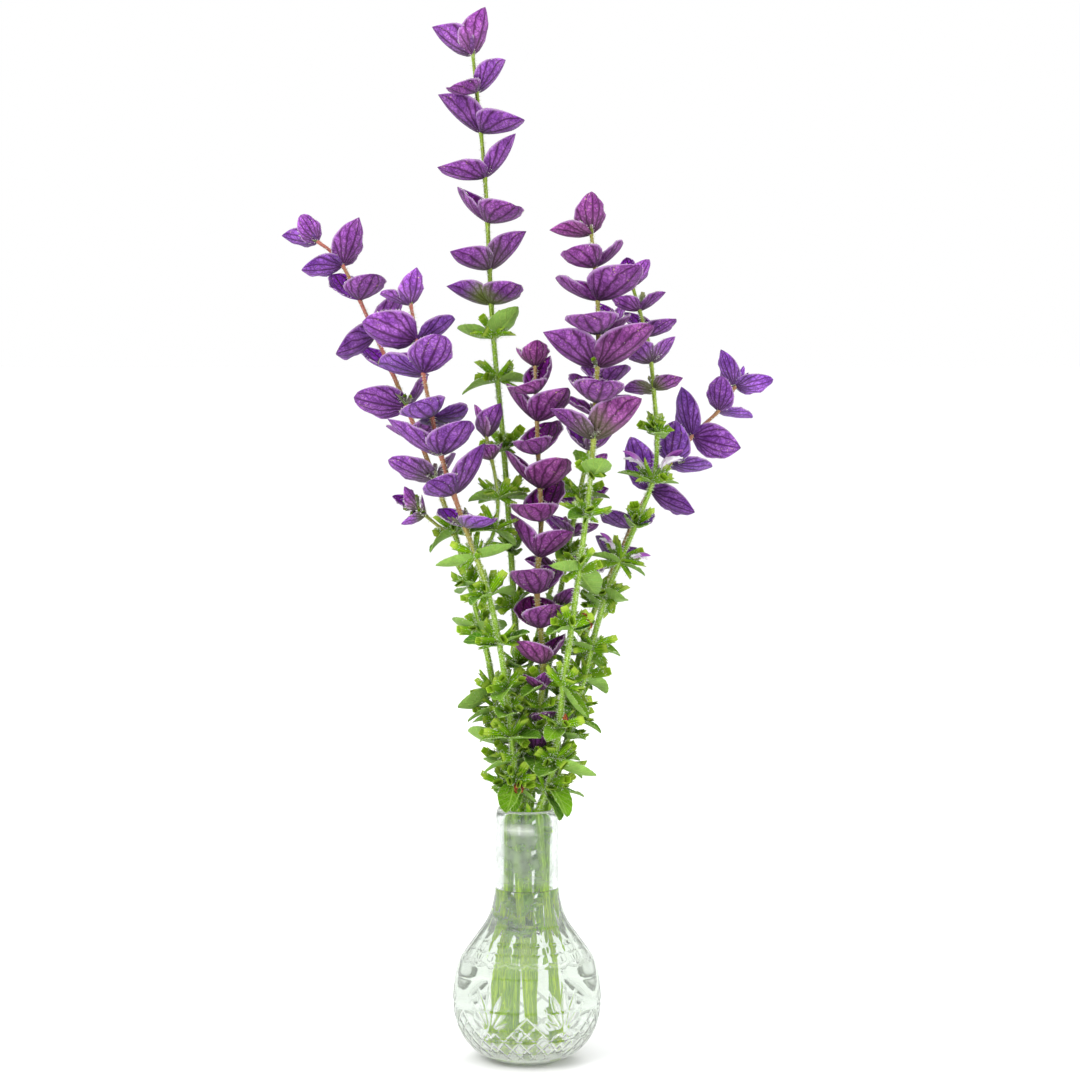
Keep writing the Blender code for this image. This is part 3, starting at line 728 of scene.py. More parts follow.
STEMS = [
    Stem("sage_1", [(-1.5, 4, 127), (-5, 5, 205), (-11, 6, 300), (-17, 7, 368), (-20.5, 8, 438),
                    (-26.5, 8, 500)],
         [(499, (-20, 14), (6, 23)), (481, (-13, 1), (14, 16)), (461, (-21, 19), (21, 6)),
          (439, (-23, 5), (15, 22)), (417, (-15, 18), (14, 8)), (394, (-19, 9), (18, 19)),
          (377, (-22, 9), (13, 10))],
         [(361, (-18, 4), (12, 15))], [361, 340, 306, 282, 256, 228, 198, 172, 147], [],
         27, 0.98, 1.0, 30, hue=0.45, flush=0.1, greenness=0.9),
    Stem("sage_2", [(-10, 1, 127), (-17, 5, 188), (-24, 8, 220), (-36, 11, 263), (-59, 14, 324),
                    (-75, 16, 361), (-92, 18, 397), (-105, 19, 409)],
         [(408, (-18, 3), (-8, 13)), (396, (-20, -2), (8, 24)), (379, (-14, 13), (8, 13)),
          (361, (-19, -8), (13, 19)), (344, (-16, 12), (15, 8)), (326, (-26, 5), (10, 16)),
          (308, (-18, 8), (13, 14)), (290, (-23, 10), (10, 12))],
         [(214, (-15, 5), (10, 8)), (184, (-18, -6), (12, 6)), (160, (-16, 3), (12, 4))],
         [264, 238, 214, 184, 160, 138], [],
         26, 0.8, 0.7, 45, hue=0.3, flush=0.9, greenness=0.3),
    Stem("sage_3", [(-6.5, -7.5, 127), (-7, -12, 160), (-13, -17, 208), (-20, -21, 240), (-31, -25, 272),
                    (-42, -29, 306), (-50, -31, 344), (-56, -32, 378)],
         [(377, (-15, 5), (3, 18)), (360, (-26, 9), (18, 10)), (344, (-22, 3), (9, 19)),
          (323, (-8, 8), (14, -2)), (304, (-26, 18), (13, 18)), (285, (-12, 8), (15, 25)),
          (269, (-12, 8), (14, 5))],
         [(254, (-20, -4), (18, 7)), (141, (-8, -12), (15, -6))], [254, 236, 212, 189, 165, 141], [],
         28, 0.9, 0.85, 40, hue=0.25, flush=0.9, greenness=0.35),
    Stem("sage_4", [(0, -2.5, 127), (5, -7, 165), (8, -10, 200), (5, -12, 236), (7, -13, 271),
                    (5.5, -14, 305), (4, -15, 348)],
         [(347, (-9, 9), (1, 13)), (334, (-9, 4), (7, 18)), (320, (-15, 18), (15, 17)),
          (304, (-6, 8), (7, 15)), (287, (-17, 18), (11, 16)), (271, (-9, 10), (9, 20)),
          (253, (-14, 22), (16, 14)), (235, (-7, 14), (7, 12)), (218, (-5, 14), (6, 14)),
          (200, (-12, 13), (11, 14))],
         [], [178, 154], [],
         26, 1.0, 1.0, 25, hue=0.8, flush=0.6, greenness=0.15),
    Stem("sage_5", [(5.5, -8.5, 127), (13, -15, 150), (18.5, -21, 195), (25, -27, 245), (31, -32, 296),
                    (34, -35, 348), (34, -36, 380), (31, -36, 411)],
         [(411, (-20, 2), (0, 20)), (395, (-14, 8), (14, 12)), (379, (-20, 11), (20, 17)),
          (363, (-8, 10), (10, 4)), (347, (-26, 17), (27, 20)), (330, (3, 11), (-6, 12)),
          (312, (-21, 15), (23, 20))],
         [(295, (-6, 11), (6, 9)), (248, (-14, 4), (9, -13)), (190, (-12, 8), (12, -14)),
          (152, (-8, -4), (21, -7))], [295, 276, 248, 220, 190, 152], [],
         31, 0.94, 1.0, 30, hue=0.7, flush=0.4, greenness=0.5),
    Stem("sage_6", [(10.3, -1, 127), (21, -1, 165), (28, 0, 191), (39, 2, 232), (54, 4, 268), (62.5, 5, 290),
                    (64.5, 6, 308), (63, 7, 333), (60, 8, 358), (52, 8, 387)],
         [(386, (-3, 14), (8, 13)), (374, (-14, 6), (13, 9)), (361, (-10, 12), (14, 9)),
          (348, (-12, 10), (12, 13)), (335, (-14, -1), (14, 6))],
         [], [314, 290, 269, 250, 232, 207, 178, 148],
         [(290, (-13, 17)), (290, (13, 18)), (250, (-8, 16)), (250, (15, 5)), (250, (-13, -4))],
         20, 0.9, 0.9, 35, hue=0.45, flush=0.15, greenness=0.7),
    Stem("sage_7", [(8, 6.5, 127), (17, 14, 166), (25, 20, 196), (34, 25, 223), (45, 29, 247), (61, 33, 281),
                    (83.5, 37, 310), (97, 39, 323), (106, 40, 336)],
         [(335, (-7, 19), (19, 4)), (323, (1, 18), (18, -4)), (310, (-5, 25), (24, -5)),
          (297, (2, 22), (22, -3)), (283, (-10, 27), (22, -10)), (264, (-14, 10), (10, 8)),
          (247, (-10, 12), (10, 9))],
         [], [226, 202, 176, 150], [],
         27, 0.66, 0.6, 52, hue=0.1, flush=0.8, greenness=0.15),
    Stem("sage_8", [(-6.5, 8, 127), (-4, 18, 165), (4, 29, 205), (18, 40, 250), (33, 48, 290)],
         [(289, (-8, 12), (8, 12)), (275, (-15, 6), (14, 8)), (259, (-9, 10), (9, 9)),
          (241, (-16, 7), (15, 8))],
         [], [218, 182, 147], [],
         22, 0.9, 0.9, -25, hue=0.4, flush=0.3, greenness=0.3),
    Stem("sage_9", [(2, 10.3, 127), (7, 18, 165), (14, 25, 215), (25, 31, 275), (38, 36, 330), (44, 38, 365)],
         [(364, (-9, 14), (7, 15)), (350, (-15, 9), (15, 9)), (336, (-9, 12), (10, 11)),
          (320, (-18, 10), (17, 11)), (303, (-11, 12), (11, 12))],
         [], [281, 251, 219, 186, 153], [],
         23, 0.9, 0.9, -25, hue=0.5, flush=0.3, greenness=0.3),
    Stem("side_shoot_1", [(-25, -23, 255), (-18, -20.5, 262), (-14.5, -16, 274), (-15, -12, 290),
                          (-20, -9, 313)],
         [(312, (-6, 16), (7, 17)), (301, (-4, 8), (5, 8))],
         [], [283], [], 18, 0.98, 1.0, 20, SIZES.side_shoot_radius, "sage_3", hue=0.5, flush=0.4),
    Stem("side_shoot_2", [(-35.5, 11, 262), (-42, 5, 266), (-48, 1, 271), (-54, -1, 277)],
         [(276.5, (-13, 6), (-7, 11)), (273, (-12, -4), (-2, 10))],
         [], [], [], 15, 0.8, 0.8, 40, SIZES.side_shoot_radius, "sage_2", hue=0.4, flush=0.5, greenness=0.5),
]
STEM_OF = {stem.name: stem for stem in STEMS}


def face_out(mesh: Shape) -> None:
    """Turns all faces of a closed mesh outwards."""
    bmesh.ops.recalc_face_normals(mesh, faces=mesh.faces[:])


def at_height(curve: Sequence[Vector], height: float) -> tuple[Vector, Vector]:
    """The point of a curve at a height, and its direction there."""
    for low, high in zip(curve, curve[1:]):
        if low.z <= height <= high.z:
            share = (height - low.z) / max(high.z - low.z, 1e-6)
            return low.lerp(high, share), (high - low).normalized()
    return curve[-1].copy(), (curve[-1] - curve[-2]).normalized()


def grow_ring(mesh: Shape, ring: Sequence[bmesh.types.BMEdge]) -> tuple[list, list]:
    """Extrudes a ring of edges in place.

    Args:
        mesh: The mesh.
        ring: Its open end.

    Returns:
        The new corners and the new open end.
    """
    grown = bmesh.ops.extrude_edge_only(mesh, edges=ring)["geom"]
    corners_only = [part for part in grown if isinstance(part, bmesh.types.BMVert)]
    return corners_only, [part for part in grown if isinstance(part, bmesh.types.BMEdge)]


def tube(points: Sequence[Vector], radii: Sequence[float], sides: int) -> Shape:
    """A stalk swept through points by extruding its end ring again and again, in mm.

    Args:
        points: Its middle line.
        radii: Its radius at each point.
        sides: Corners of its section.

    Returns:
        The closed tube.
    """
    mesh = bmesh.new()
    frames = []
    for index, point in enumerate(points):
        ahead = points[min(index + 1, len(points) - 1)]
        behind = points[max(index - 1, 0)]
        tangent = (ahead - behind).normalized()
        right, away = across(tangent)
        turn = Matrix((right * radii[index], away * radii[index], tangent)).transposed().to_4x4()
        turn.translation = point
        frames.append(turn)
    bmesh.ops.create_circle(mesh, segments=sides, radius=1, matrix=frames[0])
    ring = mesh.edges[:]
    for old, new in zip(frames, frames[1:]):
        verts, ring = grow_ring(mesh, ring)
        bmesh.ops.transform(mesh, matrix=new @ old.inverted(), verts=verts)
    bmesh.ops.holes_fill(mesh, edges=mesh.edges[:], sides=sides)
    face_out(mesh)
    return mesh


@dataclass(frozen=True)
class Sprout:
    """A bract, leaf, calyx, bud or flower: where it leaves its stalk, and how it stands and curves."""

    kind: Kind
    point: Vector
    tangent: Vector
    azimuth: float
    length: float
    width: float
    lift: float
    curl: float = 0.1
    fold: float = 0.1
    roll: float = 0.0

    def outward_frame(self) -> Matrix:
        """Matrix whose X runs across the sprout, Y outwards and Z along the stalk."""
        right, away = across(self.tangent)
        out = right * math.cos(self.azimuth) + away * math.sin(self.azimuth)
        turn = Matrix((out.cross(self.tangent), out, self.tangent)).transposed().to_4x4()
        turn.translation = self.point
        return turn

    def direction(self) -> Vector:
        """The way it points from its root, in its outward frame."""
        return Vector((0, math.cos(self.lift), math.sin(self.lift)))

    def along_axis(self) -> Matrix:
        """Matrix that turns Z to the way it points, in its outward frame."""
        return self.direction().to_track_quat("Z", "X").to_matrix().to_4x4()

    def half_width(self, along: float) -> float:
        """Half a blade's width at a share of its length: ovate, widest below the middle."""
        return self.width / 2 * math.sin(math.pi * min(max(along, 0.0), 1.0) ** 0.72) ** 0.8

    def blade_point(self, along: float, sideways: float, half: float | None = None) -> Vector:
        """A point of a blade's middle surface in its outward frame.

        Args:
            along: Share of the length.
            sideways: From -1 to 1 across the blade.
            half: Half the width there, if it isn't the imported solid's.

        Returns:
            The point in mm.
        """
        turned = self.lift + self.curl * along
        reach = self.length * (math.sin(turned) - math.sin(self.lift)) / self.curl
        rise = self.length * (math.cos(self.lift) - math.cos(turned)) / self.curl
        half = self.half_width(along) if half is None else half
        bend = self.fold * sideways
        shift = half * math.sin(bend) / self.fold
        raised = half * (1 - math.cos(bend)) / self.fold
        chord = Vector((0, math.cos(self.lift + self.curl / 2), math.sin(self.lift + self.curl / 2)))
        point = Vector((shift, reach - raised * math.sin(turned), rise + raised * math.cos(turned)))
        return Matrix.Rotation(self.roll, 3, chord) @ point

    def plain_blade(self, thickness: float, start: float | None) -> Shape:
        """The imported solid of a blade, for testing what it would touch."""
        root = -SIZES.root_overlap / self.length if start is None else start
        between = SIZES.bract_rows if self.kind is Kind.BRACT else SIZES.leaf_rows
        rows = [root] + [row for row in between if row > root] + [1.0]
        mesh = bmesh.new()
        bmesh.ops.create_grid(mesh, x_segments=2, y_segments=len(rows) - 1, size=0.5)
        ends: tuple[list, list] = ([], [])
        for vert in mesh.verts:
            row = round((vert.co.y + 0.5) * (len(rows) - 1))
            sideways = 2 * vert.co.x
            if row in (0, len(rows) - 1):
                ends[row > 0].append(vert)
                sideways = 0 if start is None or row else sideways
            vert.co = self.blade_point(rows[row], sideways)
        for end in ends:
            bmesh.ops.pointmerge(mesh, verts=end, merge_co=end[1].co)
        bmesh.ops.triangulate(mesh, faces=mesh.faces[:])
        face_out(mesh)
        mesh.normal_update()
        for vert in mesh.verts:
            vert.co += vert.normal * thickness / 2
        bmesh.ops.solidify(mesh, geom=mesh.faces[:], thickness=thickness)
        bmesh.ops.transform(mesh, matrix=self.outward_frame(), verts=mesh.verts[:])
        face_out(mesh)
        return mesh

    def plain_bell(self, swell: float, start: float) -> Shape:
        """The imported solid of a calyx, bud or flower, for testing what it would touch."""
        middle = Matrix.Translation(self.direction() * self.length * (1 + start) / 2)
        root = SIZES.calyx_root_radius + (self.width / 2 - SIZES.calyx_root_radius) * start
        mesh = bmesh.new()
        bmesh.ops.create_cone(mesh, cap_ends=True, segments=SIZES.calyx_sides, radius1=root + swell,
                              radius2=self.width / 2 + swell, depth=self.length * (1 - start),
                              matrix=self.outward_frame() @ middle @ self.along_axis())
        return mesh

    def solid(self, clearance: float = 0.0, start: float | None = None) -> Shape:
        """The sprout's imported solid, or a fatter one, from a share of its length on."""
        if self.kind in (Kind.BRACT, Kind.LEAF):
            return self.plain_blade(SIZES.blade_thickness + 2 * clearance, start)
        return self.plain_bell(clearance, start or 0.0)

    def bent(self, aside: float, up: float, share: float) -> "Sprout":
        """The sprout turned aside and up by degrees, and scaled."""
        return replace(self, azimuth=self.azimuth + math.radians(aside), lift=self.lift + math.radians(up),
                       length=self.length * share, width=self.width * share)


def aimed(kind: Kind, point: Vector, tangent: Vector, offset: Vector, width_share: float, curl: float,
          fold: float, roll: float) -> Sprout:
    """A blade from the stalk to a tip at the given offset, its nearer wing turned up by the roll."""
    right, away = across(tangent)
    rise = offset.dot(tangent)
    outward = offset - tangent * rise
    azimuth = math.atan2(outward.dot(away), outward.dot(right))
    lift = math.atan2(rise, outward.length) - curl / 2
    length = offset.length * (curl / 2) / math.sin(curl / 2)
    turned = roll * outward.normalized().cross(tangent).y
    return Sprout(kind, point, tangent, azimuth, length, length * width_share, lift, curl, fold, turned)


def corners(mesh: Shape) -> tuple[list[float], list[float]]:
    """Lowest and highest corner of a mesh's box."""
    axes = list(zip(*(vert.co for vert in mesh.verts)))
    return [min(axis) for axis in axes], [max(axis) for axis in axes]


class Room:
    """Remembers what each node fills, so that what comes later is bent clear of it."""

    def __init__(self) -> None:
        """Starts empty."""
        self.taken: list[tuple[str, bool, list[float], list[float], BVHTree]] = []

    def take(self, node: str, mesh: Shape, own: Shape | None = None) -> None:
        """Books the space of a solid for a node, and for its own node only the part that sticks out."""
        for inside, part in ((False, mesh), (True, own)):
            if part:
                low, high = corners(part)
                self.taken.append((node, inside, low, high, BVHTree.FromBMesh(part)))

    def is_clear(self, node: str, mesh: Shape, inside: bool = False) -> bool:
        """Whether a solid keeps out of every other node, or out of its own node's sprouts."""
        low, high = corners(mesh)
        tree = BVHTree.FromBMesh(mesh)
        for other, other_inside, other_low, other_high, other_tree in self.taken:
            if (other == node) != inside or other_inside != inside:
                continue
            apart = any(low[i] > other_high[i] or high[i] < other_low[i] for i in range(3))
            if not apart and tree.overlap(other_tree):
                return False
        return True

    def settle(self, node: str, sprout: Sprout, bends: Sequence[Place],
               clearance: float = SIZES.clearance, own_clearance: float = 0.15) -> Sprout | None:
        """Books the first way of bending a sprout that clears everything.

        Args:
            node: Node that it belongs to.
            sprout: What is placed.
            bends: Turns aside and up, and sizes, in the order in which they are tried.
            clearance: Gap that it keeps from other nodes.
            own_clearance: Gap that its outer part keeps from its own node's sprouts.

        Returns:
            The bent sprout, or None where nothing fits.
        """
        for bend in bends:
            tried = sprout.bent(*bend)
            if (self.is_clear(node, tried.solid(clearance))
                    and self.is_clear(node, tried.solid(own_clearance, SIZES.free_from), inside=True)):
                self.take(node, tried.solid(), own=tried.solid(start=SIZES.free_from))
                return tried
        return None


@dataclass
class Arrangement:
    """Where every stalk runs and every sprout sits."""

    curves: dict[str, list[Vector]] = field(default_factory=dict)
    splits: dict[str, float] = field(default_factory=dict)
    sprouts: dict[str, list[tuple[Stem, Sprout]]] = field(default_factory=dict)
    extra_clearance: float = 0.12
    tucked_lift: float = 58.0

    def pair(self, kind: Kind, stem: Stem, entry: Pair, nearer: int, size: float, share: float,
             draw: random.Random) -> list[Sprout]:
        """The two blades of a pair, whose seen offsets are completed with depth to their full size.

        Args:
            kind: Bract or leaf.
            stem: Stalk that they grow from.
            entry: Height and the two seen offsets.
            nearer: Which of the two leans towards the viewer.
            size: Their length.
            share: Width as a share of the length.
            draw: Source of the small differences.

        Returns:
            The two blades.
        """
        height, *tips = entry
        point, tangent = at_height(self.curves[stem.name], height)
        made = []
        for side, (x, z) in enumerate(tips):
            depth = math.sqrt(max(size ** 2 - x ** 2 - z ** 2, 9.0))
            if side != nearer:
                depth = -depth
            curl = math.radians(draw.uniform(20, 46))
            width, fold = share * draw.uniform(0.92, 1.12), stem.fold * draw.uniform(0.85, 1.25)
            roll = math.radians(stem.roll + draw.uniform(-12, 12))
            made.append(aimed(kind, point, tangent, Vector((x, depth, z)), width, curl, fold, roll))
        return made

    def spike(self, stem: Stem, draw: random.Random) -> list[Sprout]:
        """The bracts of a spike and the bud at its tip."""
        made = []
        for index, entry in enumerate(stem.bracts):
            from_tip = min(1.0, 0.62 + 0.2 * index)
            from_foot = min(1.0, 0.82 + 0.09 * (len(stem.bracts) - 1 - index))
            size = stem.size * from_tip * from_foot
            made += self.pair(Kind.BRACT, stem, entry, index % 2, size, stem.width, draw)
        point, tangent = at_height(self.curves[stem.name], stem.bracts[0][0])
        length = SIZES.bud_length * min(1.0, stem.size / 24)
        made.append(Sprout(Kind.BUD, point, tangent, draw.uniform(2, 4), length, SIZES.bud_width,
                           math.radians(draw.uniform(62, 80))))
        return made

    def whorls(self, stem: Stem, draw: random.Random) -> list[Sprout]:
        """The green part: two calyces to a side of each whorl, each side over a floral leaf, and flowers."""
        curve = self.curves[stem.name]
        made = []
        for index, entry in enumerate(stem.leaves):
            made += self.pair(Kind.LEAF, stem, entry, index % 2, SIZES.leaf_length * 1.25,
                              SIZES.leaf_width_share, draw)
        turn = draw.uniform(0, math.pi)
        for index, height in enumerate(stem.whorls):
            point, tangent = at_height(curve, height)
            turn += math.pi / 2 + draw.uniform(-0.3, 0.3)
            young = 0.72 if index == 0 else 1.0
            for half in (0, math.pi):
                length = SIZES.leaf_length * draw.uniform(0.8, 1.2)
                curl = math.radians(draw.uniform(-46, -8))
                leaf = Sprout(Kind.LEAF, point - tangent * SIZES.leaf_drop, tangent, turn + half, length,
                              length * SIZES.leaf_width_share * draw.uniform(0.9, 1.15),
                              math.radians(draw.uniform(2, 26)), curl, draw.uniform(0.5, 0.9),
                              draw.uniform(-0.4, 0.4))
                if height not in [entry[0] for entry in stem.leaves]:
                    made.append(leaf)
                for place in (-1, 1):
                    azimuth = turn + half + SIZES.calyx_spread * place * draw.uniform(0.8, 1.3)
                    root = point + tangent * draw.uniform(-0.6, 0.8)
                    made.append(Sprout(Kind.CALYX, root, tangent, azimuth,
                                       SIZES.calyx_length * draw.uniform(0.86, 1.12) * young,
                                       2 * SIZES.calyx_mouth_radius * draw.uniform(0.85, 1.1),
                                       math.radians(draw.uniform(6, 50))))
        for height, (x, z) in stem.flowers:
            point, tangent = at_height(curve, height)
            flower = aimed(Kind.FLOWER, point, tangent, Vector((x, draw.uniform(-5, 2), z)), 0.1, 0.1, 0.1, 0)
            made.append(replace(flower, width=2 * SIZES.flower_radius))
        return made

    def lay_out(self, room: Room) -> None:
        """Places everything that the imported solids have, by their rule."""
        for stem in STEMS:
            curve = self.curves[stem.name] = stem.curve()
            split = self.splits[stem.name] = stem.bracts[-1][0] - SIZES.split_below_bracts
            gap = SIZES.split_gap / 2
            for node, low, high in ((stem.lower, curve[0].z, split - gap),
                                    (stem.upper, split + gap, stem.top(curve))):
                stretch = self.plain_stretch(stem, low, high)
                self.sprouts.setdefault(node, [])
                room.take(node, stretch, own=stretch)
        draw = random.Random(SIZES.seed)
        wanted = []
        for stem in STEMS:
            wanted += [(stem.upper, stem, sprout) for sprout in self.spike(stem, draw)]
        for stem in STEMS:
            wanted += [(stem.lower, stem, sprout) for sprout in self.whorls(stem, draw)]
        for node, stem, sprout in wanted:
            self.add(stem, node, room.settle(node, sprout, BENDS))

    def plain_stretch(self, stem: Stem, low: float, high: float) -> Shape:
        """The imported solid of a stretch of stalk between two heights."""
        curve = self.curves[stem.name]
        heights = [low]
        start = low
        if low < SIZES.vase_top:
            start = min(high, SIZES.vase_top)
            heights.append(start)
        count = round((high - start) / SIZES.stalk_step + 0.5)
        heights += [start + (high - start) * step / count for step in range(1, count + 1) if high > start]
        points = [at_height(curve, height)[0] for height in heights]
        return tube(points, [stem.radius_at(curve, height) for height in heights], SIZES.stalk_sides)

    def add(self, stem: Stem, node: str, placed: Sprout | None) -> None:
        """Notes a sprout that found its place."""
        if placed:
            self.sprouts[node].append((stem, placed))

    def add_extra(self, room: Room, node: str, stem: Stem, sprout: Sprout) -> None:
        """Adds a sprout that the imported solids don't have, if it finds a gap."""
        self.add(stem, node, room.settle(node, sprout, EXTRA_BENDS, self.extra_clearance, 0.0))

    def whorl_calyx(self, point: Vector, tangent: Vector, azimuth: float, lift: float,
                    draw: random.Random) -> Sprout:
        """A calyx of ordinary size that rises by the given degrees."""
        return Sprout(Kind.CALYX, point + tangent * draw.uniform(-0.4, 0.8), tangent, azimuth,
                      SIZES.calyx_length * draw.uniform(0.84, 1.04),
                      2 * SIZES.calyx_mouth_radius * draw.uniform(0.8, 1), math.radians(lift))

    def fill_in(self, room: Room) -> None:
        """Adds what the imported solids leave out: single blades, more calyces and more whorls."""
        draw = random.Random(SIZES.seed + 1)
        for name, height, (x, y, z), kind in STRAYS:
            stem = STEM_OF[name]
            point, tangent = at_height(self.curves[name], height)
            blade = aimed(kind, point, tangent, Vector((x, y, z)), 0.7 if kind is Kind.LEAF else 0.85,
                          math.radians(-30 if kind is Kind.LEAF else 34), 0.8, draw.uniform(-0.3, 0.3))
            self.add_extra(room, stem.lower, stem, blade)
        for stem in STEMS:
            for _, sprout in [entry for entry in self.sprouts[stem.lower] if entry[0] is stem]:
                if sprout.kind is Kind.LEAF:
                    point = sprout.point + sprout.tangent * 1.6
                    for lift in (draw.uniform(30, 58), draw.uniform(-12, 12)):
                        middle = self.whorl_calyx(point, sprout.tangent, sprout.azimuth, lift, draw)
                        self.add_extra(room, stem.lower, stem, middle)
        for name, heights in HEART.items():
            for height in heights:
                self.add_whorl(room, STEM_OF[name], height, draw)
        for stem in STEMS:
            for entry in stem.bracts[-4:]:
                point, tangent = at_height(self.curves[stem.name], entry[0])
                for _ in range(4):
                    small = Sprout(Kind.CALYX, point + tangent * draw.uniform(0.3, 1.4), tangent,
                                   draw.uniform(0, math.tau), draw.uniform(5.5, 8.5), draw.uniform(2.6, 3.6),
                                   math.radians(draw.uniform(40, 68)))
                    self.add_extra(room, stem.upper, stem, small)

    def add_whorl(self, room: Room, stem: Stem, height: float, draw: random.Random) -> None:
        """Adds a whole whorl, two leaves and up to six calyces, at a height of a stalk."""
        point, tangent = at_height(self.curves[stem.name], height)
        turn = draw.uniform(0, math.pi)
        tucked = self.tucked_lift if height < SIZES.vase_top else 0
        for half in (0, math.pi):
            length = SIZES.leaf_length * draw.uniform(0.75, 1.15)
            leaf = Sprout(Kind.LEAF, point - tangent * SIZES.leaf_drop, tangent, turn + half, length,
                          length * 0.74, math.radians(draw.uniform(-8, 34) + tucked),
                          math.radians(draw.uniform(-50, -8)), draw.uniform(0.5, 0.9), draw.uniform(-0.4, 0.4))
            self.add_extra(room, stem.lower, stem, leaf)
            for place in (-1, 0, 1):
                azimuth = turn + half + SIZES.calyx_spread * place * draw.uniform(0.8, 1.3)
                lift = draw.uniform(4, 52) + tucked * 0.6
                self.add_extra(room, stem.lower, stem, self.whorl_calyx(point, tangent, azimuth, lift, draw))


# Whorls that only the finished bunch has, as heights on a stalk; those below the rim are tucked upright
HEART = {"sage_1": [159, 137, 185, 117, 104, 76], "sage_2": [149, 172, 68], "sage_3": [153, 177, 62, 75],
         "sage_4": [141, 166, 190, 120, 108, 96], "sage_5": [171, 137], "sage_6": [163, 136, 192, 110],
         "sage_7": [163, 138, 189], "sage_8": [165, 137, 200, 113, 99], "sage_9": [169, 140, 202],
         "side_shoot_1": [268]}

# Single blades that hang beside the whorls: stalk, height, offset of the tip and kind
STRAYS = [("sage_5", 141, (9, -9, -15), Kind.LEAF), ("sage_3", 139, (-6, -8, -12), Kind.LEAF),
          ("sage_4", 187, (-9, -8, 9), Kind.BRACT), ("sage_4", 187, (9, -9, 9), Kind.BRACT),
          ("sage_4", 171, (7, -12, 7), Kind.BRACT), ("sage_4", 171, (-10, -4, 8), Kind.BRACT),
          ("sage_4", 157, (-7, -11, 9), Kind.BRACT), ("sage_4", 149, (9, -9, 8), Kind.BRACT),
          ("sage_8", 215, (12, -8, 12), Kind.BRACT), ("sage_9", 262, (-12, -8, 10), Kind.BRACT),
          ("sage_9", 225, (10, -8, 10), Kind.BRACT), ("sage_6", 171, (14, -4, -6), Kind.LEAF),
          ("sage_2", 175, (-14, -4, -5), Kind.LEAF), ("sage_1", 166, (6, -12, -7), Kind.LEAF)]


# Finer shapes


class Gathered:
    """One mesh in the making, to which finished shapes are added one after another."""

    def __init__(self) -> None:
        """Starts empty, with the vectors that the finishes read."""
        self.mesh = new_shape()

    def add(self, shape: Shape, skin: Skin) -> None:
        """Adds a shape, which is used up, and gives it a finish."""
        for face in shape.faces:
            face.material_index = skin.index
            face.smooth = True
        pour(shape, self.mesh)


def new_shape() -> Shape:
    """An empty mesh with the vectors that the finishes read."""
    mesh = bmesh.new()
    for name in LAYERS:
        mesh.verts.layers.float_vector.new(name)
    return mesh


def pour(shape: Shape, target: Shape) -> None:
    """Adds the whole of one mesh to another, and uses it up."""
    held = bpy.data.meshes.new("held")
    shape.to_mesh(held)
    shape.free()
    target.from_mesh(held)
    bpy.data.meshes.remove(held)


def mark(mesh: Shape, vert: bmesh.types.BMVert, **values: Vector) -> None:
    """Writes a vertex's vectors by name."""
    for name, value in values.items():
        vert[mesh.verts.layers.float_vector[name]] = value


def linked(name: str, data: bpy.types.ID) -> bpy.types.Object:
    """An object of a mesh, lamp or camera, put into the scene."""
    made = bpy.data.objects.new(name, data)
    bpy.context.scene.collection.objects.link(made)
    return made


def make_object(name: str, mesh: Shape, materials: Sequence[bpy.types.Material],
                sharp: float = 50) -> bpy.types.Object:
    """Links a mesh drawn in mm as an object in metres.

    Args:
        name: Its name.
        mesh: The mesh, which is used up.
        materials: Its materials, in the order of its slots.
        sharp: Degrees between two faces from which their edge stays sharp.

    Returns:
        The object, at the origin.
    """
    bmesh.ops.transform(mesh, matrix=Matrix.Scale(MM, 4), verts=mesh.verts[:])
    data = bpy.data.meshes.new(name)
    mesh.to_mesh(data)
    mesh.free()
    for material in materials:
        data.materials.append(material)
    data.shade_smooth()
    data.set_sharp_from_angle(angle=math.radians(sharp))
    LOG.info("%s: %d faces", name, len(data.polygons))
    return linked(name, data)


